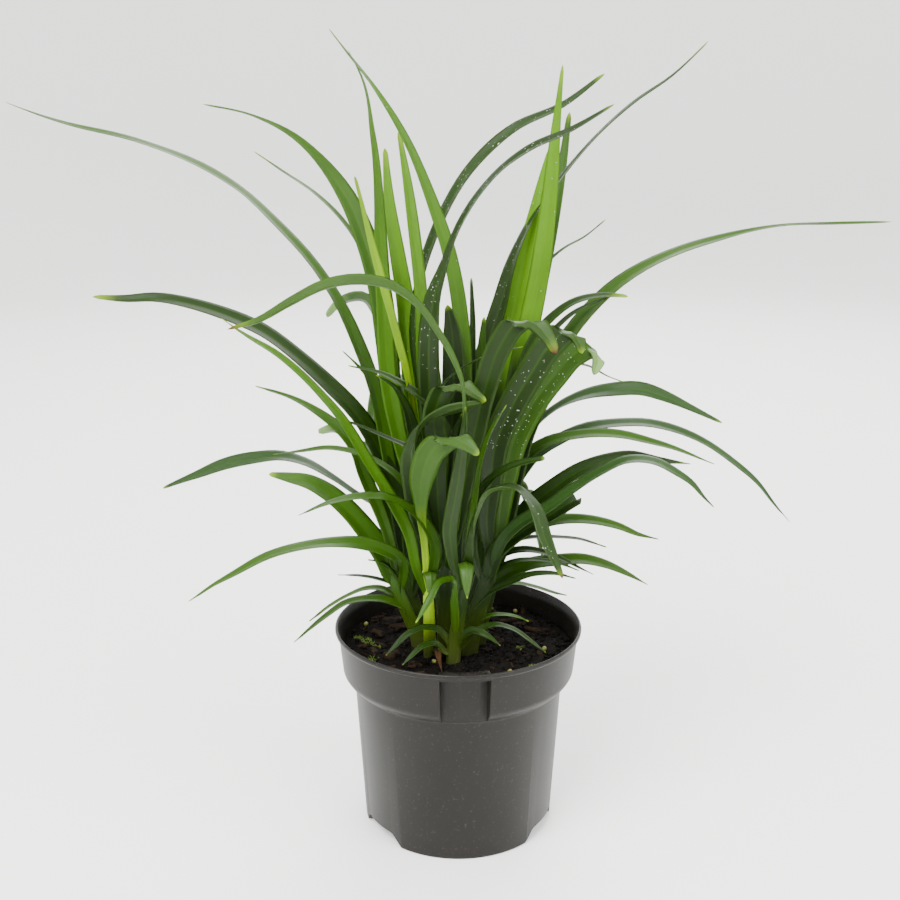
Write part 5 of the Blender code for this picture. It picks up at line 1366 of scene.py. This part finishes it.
def build_stage(settings):
    """A pale bowl that rises gently all round, three large soft lights, a pale sky and the camera."""
    profile = [(0.0, 0.0), (FLOOR_RADIUS, 0.0)]
    for step in range(1, CURVE_STEPS + 1):
        turn = math.radians(step * 90.0 / CURVE_STEPS)
        profile.append((FLOOR_RADIUS + FLOOR_CURVE * math.sin(turn), FLOOR_CURVE * (1.0 - math.cos(turn))))
    profile.append((WALL_AT, WALL_TOP))
    floor = object_from(spun([(radius, height - FLOOR_DROP) for radius, height in profile],
                             FLOOR_SIDES, 0.00001),
                        "studio_floor", "studio")
    floor.data.materials.append(plain_material("pale studio floor", settings.floor_colour, 0.85,
                                               variation=0.005, scale=3.0))

    for name, (place, size) in LIGHTS.items():
        data = bpy.data.lights.new(f"{name}_light", "AREA")
        data.size = size
        data.energy = getattr(settings, f"{name}_power")
        light = bpy.data.objects.new(data.name, data)
        light.location = place
        light.rotation_euler = (Vector(LIGHT_AIM) - light.location).to_track_quat("-Z", "Y").to_euler()
        collection("studio").objects.link(light)

    world = bpy.data.worlds.new("studio_sky")
    world.use_nodes = True
    sky = world.node_tree.nodes["Background"]
    sky.inputs["Color"].default_value = WHITE
    sky.inputs["Strength"].default_value = settings.sky_strength
    bpy.context.scene.world = world

    data = bpy.data.cameras.new("camera")
    data.sensor_width = 36.0
    data.lens = settings.lens
    camera = bpy.data.objects.new("camera", data)
    camera.location = Vector(EYE) * MM
    camera.rotation_euler = (math.radians(90.0 - CAMERA_TILT), 0.0, 0.0)
    collection("studio").objects.link(camera)
    bpy.context.scene.camera = camera


# ---------------------------------------------------------------- add-on

def colour_property(name, description, code):
    return bpy.props.FloatVectorProperty(name=name, description=description, subtype="COLOR", size=3, min=0.0,
                                         max=1.0, default=linear(code))


def length_property(name, description, millimetres):
    return bpy.props.FloatProperty(name=name, description=description, default=millimetres * MM, min=0.0,
                                   subtype="DISTANCE", unit="LENGTH", precision=5)


def count_property(name, description, default):
    return bpy.props.IntProperty(name=name, description=description, default=default, min=0)


def share_property(name, description, default):
    return bpy.props.FloatProperty(name=name, description=description, default=default, min=0.0, max=1.0,
                                   subtype="FACTOR")


def power_property(name, description, watts):
    return bpy.props.FloatProperty(name=name, description=description, default=watts, min=0.0,
                                   subtype="POWER")


class FlaxPotSettings(bpy.types.PropertyGroup):
    steps: count_property("Steps", "Facets round the pot", 144)
    edge_round: length_property("Edge round", "Radius of the moulded edges of the recess and notches", 0.35)
    colour: colour_property("Colour", "Warm dark grey of the plastic", "#110f0b")
    dust_colour: colour_property("Dust", "Colour of dust and dried mix on the plastic", "#5c564c")
    gloss_roughness: share_property("Roughness", "Satin gloss of polypropylene", 0.42)


class FlaxMixSettings(bpy.types.PropertyGroup):
    steps: count_property("Steps", "Facets round the mix", 150)
    rings: count_property("Rings", "Rings of the mix's top", 48)
    seed: count_property("Seed", "Seed of the scattered pieces", 7)
    crumb_count: count_property("Crumbs", "How many crumbs lie on the mix", 900)
    chip_count: count_property("Chips", "How many loose bark chips lie on the mix", 70)
    crumb_relief: length_property("Crumb relief", "Depth of the finest texture of the mix", 0.5)
    prill: length_property("Prill", "Diameter of a fertiliser grain", 3.0)
    peat_colour: colour_property("Peat", "Nearly black peat", "#040403")
    fibre_colour: colour_property("Fibre", "Brown fibres in the peat", "#0d0a07")
    crumb_colour: colour_property("Crumb", "Lit side of a crumb", "#0f0c09")
    bark_dark: colour_property("Bark, dark", "Weathered side of the bark", "#0b0806")
    bark_light: colour_property("Bark, light", "Fresh side of the bark", "#241b11")
    prill_colour: colour_property("Prill colour", "Yellow-green coated fertiliser", "#5f5f26")
    moss_colour: colour_property("Moss", "Green of the moss flecks", "#4a5f14")


class FlaxLeafSettings(bpy.types.PropertyGroup):
    seed: count_property("Seed", "Seed of the small differences between leaves", 11)
    rows: count_property("Rows", "Rows along each leaf", 48)
    stem_rows: count_property("Stem rows", "Rows up each stem", 20)
    stem_sides: count_property("Stem sides", "Facets round each stem", 24)
    thickness: length_property("Thickness", "Thickness of a leaf beside its midrib", 0.4)
    vein_spacing: length_property("Vein spacing", "Distance between the parallel veins", 0.7)
    drop_size: length_property("Drop size", "Diameter of the largest dew drops", 0.7)
    gloss_roughness: share_property("Roughness", "Waxy gloss of the leaf", 0.42)
    leaf_green: colour_property("Leaf green", "Ordinary mid green", "#284602")
    # Dark green: the old leaves' own deeper green, darkened further as painted shade for leaves that stand in
    # the clump's shade
    dark_green: colour_property("Dark green", "Old glossy leaves", "#162a02")
    fresh_green: colour_property("Fresh green", "Leaves of this season", "#365a02")
    # Bright, lime and upright greens: the young leaves' own paler green, with painted light in it, the glow
    # of light shining through them from behind
    bright_green: colour_property("Bright green", "Young upright leaves", "#487202")
    lime_green: colour_property("Lime green", "The youngest leaf", "#6a9002")
    upright_green: colour_property("Upright green", "Two tall leaves, bright above a dark foot", "#4a7402")
    grey_green: colour_property("Grey green", "Leaves that show a dull face", "#223a14")
    underside: colour_property("Underside", "Grey-green of the undersides", "#364e20")
    stalk_green: colour_property("Stalk green", "Pale stalk of the young shoot's first leaf", "#86ac14")
    base_green: colour_property("Base green", "Pale yellow-green of the sheaths", "#42521a")
    sheath_foot: colour_property("Sheath foot", "Brown-pink foot of the sheaths", "#38401a")
    midrib: colour_property("Midrib", "Paler line along the midrib", "#447010")
    margin: colour_property("Margin", "Thin paler margin", "#42680c")
    lime_tip: colour_property("Lime tip", "Yellow-green of the tips", "#6c8a06")
    dry_tip: colour_property("Dry tip", "Brown of a dried tip", "#4a2a12")
    pale_tip: colour_property("Pale tip", "Whitish hanging tip", "#6a8a4c")
    husk_green: colour_property("Husk green", "Pale upper part of the papery sheath", "#4c5826")
    husk_brown: colour_property("Husk brown", "Brown-pink of the papery sheath", "#34200f")


class FlaxStageSettings(bpy.types.PropertyGroup):
    lens: bpy.props.FloatProperty(name="Lens", description="Focal length on a 36 mm sensor", default=49.32,
                                  min=10.0, subtype="DISTANCE_CAMERA")
    key_power: power_property("Key light", "Power of the main light, on the left", 120.0)
    fill_power: power_property("Fill light", "Power of the light on the right", 50.0)
    back_power: power_property("Back light", "Power of the light behind", 60.0)
    sky_strength: bpy.props.FloatProperty(name="Sky", description="Strength of the pale sky", default=1.5,
                                          min=0.0)
    floor_colour: colour_property("Floor", "Pale studio floor", "#f4f4f2")


class FLAX_OT_pot(bpy.types.Operator):
    """Build the grey nursery pot with its label recess, tag slot and drainage notches"""
    bl_idname = "flax.pot"
    bl_label = "Build pot"

    def execute(self, context):
        build_pot(context.scene.flax_pot)
        return {"FINISHED"}


class FLAX_OT_mix(bpy.types.Operator):
    """Build the body of dark bark and peat that fills the pot"""
    bl_idname = "flax.mix"
    bl_label = "Build potting mix"

    def execute(self, context):
        build_mix(context.scene.flax_mix)
        return {"FINISHED"}


class FLAX_OT_loose_pieces(bpy.types.Operator):
    """Scatter crumbs, bark chips, fertiliser grains and moss on the mix"""
    bl_idname = "flax.loose_pieces"
    bl_label = "Scatter loose pieces"

    def execute(self, context):
        settings = context.scene.flax_mix
        build_crumbs(settings)
        build_chips(settings)
        build_prills(settings)
        build_moss(settings)
        return {"FINISHED"}


class FLAX_OT_shoots(bpy.types.Operator):
    """Build the eleven shoots, each a fan of veined strap leaves round its stem"""
    bl_idname = "flax.shoots"
    bl_label = "Build shoots"

    def execute(self, context):
        settings = context.scene.flax_leaf
        rng = random.Random(settings.seed)
        for shoot in SHOOTS:
            build_shoot(settings, shoot, rng)
        return {"FINISHED"}


class FLAX_OT_husk(bpy.types.Operator):
    """Build the dry papery sheath at the foot of the young shoot"""
    bl_idname = "flax.husk"
    bl_label = "Build papery husk"

    def execute(self, context):
        build_husk(context.scene.flax_leaf)
        return {"FINISHED"}


class FLAX_OT_drops(bpy.types.Operator):
    """Put dew drops on a few leaves"""
    bl_idname = "flax.drops"
    bl_label = "Add dew drops"

    def execute(self, context):
        build_drops(context.scene.flax_leaf)
        return {"FINISHED"}


class FLAX_OT_stage(bpy.types.Operator):
    """Build the pale studio, its lights and the camera"""
    bl_idname = "flax.stage"
    bl_label = "Build stage"

    def execute(self, context):
        build_stage(context.scene.flax_stage)
        return {"FINISHED"}


OPERATORS = (FLAX_OT_pot, FLAX_OT_mix, FLAX_OT_loose_pieces, FLAX_OT_shoots, FLAX_OT_husk, FLAX_OT_drops,
             FLAX_OT_stage)
GROUPS = {"flax_pot": FlaxPotSettings, "flax_mix": FlaxMixSettings, "flax_leaf": FlaxLeafSettings,
          "flax_stage": FlaxStageSettings}


class FLAX_PT_panel(bpy.types.Panel):
    """Lists the steps in the order in which they are run"""
    bl_idname = "FLAX_PT_panel"
    bl_label = "Potted flax lily"
    bl_space_type = "VIEW_3D"
    bl_region_type = "UI"
    bl_category = "Flax lily"

    def draw(self, context):
        for operator in OPERATORS:
            self.layout.operator(operator.bl_idname)
        for group in GROUPS:
            box = self.layout.box()
            settings = getattr(context.scene, group)
            for name in settings.__annotations__:
                box.prop(settings, name)


CLASSES = (*GROUPS.values(), *OPERATORS, FLAX_PT_panel)


def register():
    for made in CLASSES:
        bpy.utils.register_class(made)
    for name, made in GROUPS.items():
        setattr(bpy.types.Scene, name, bpy.props.PointerProperty(type=made))


def unregister():
    for name in GROUPS:
        delattr(bpy.types.Scene, name)
    for made in reversed(CLASSES):
        bpy.utils.unregister_class(made)


def main():
    register()
    bpy.ops.flax.pot()
    bpy.ops.flax.mix()
    bpy.ops.flax.loose_pieces()
    bpy.ops.flax.shoots()
    bpy.ops.flax.husk()
    bpy.ops.flax.drops()
    bpy.ops.flax.stage()


if __name__ == "__main__":
    main()
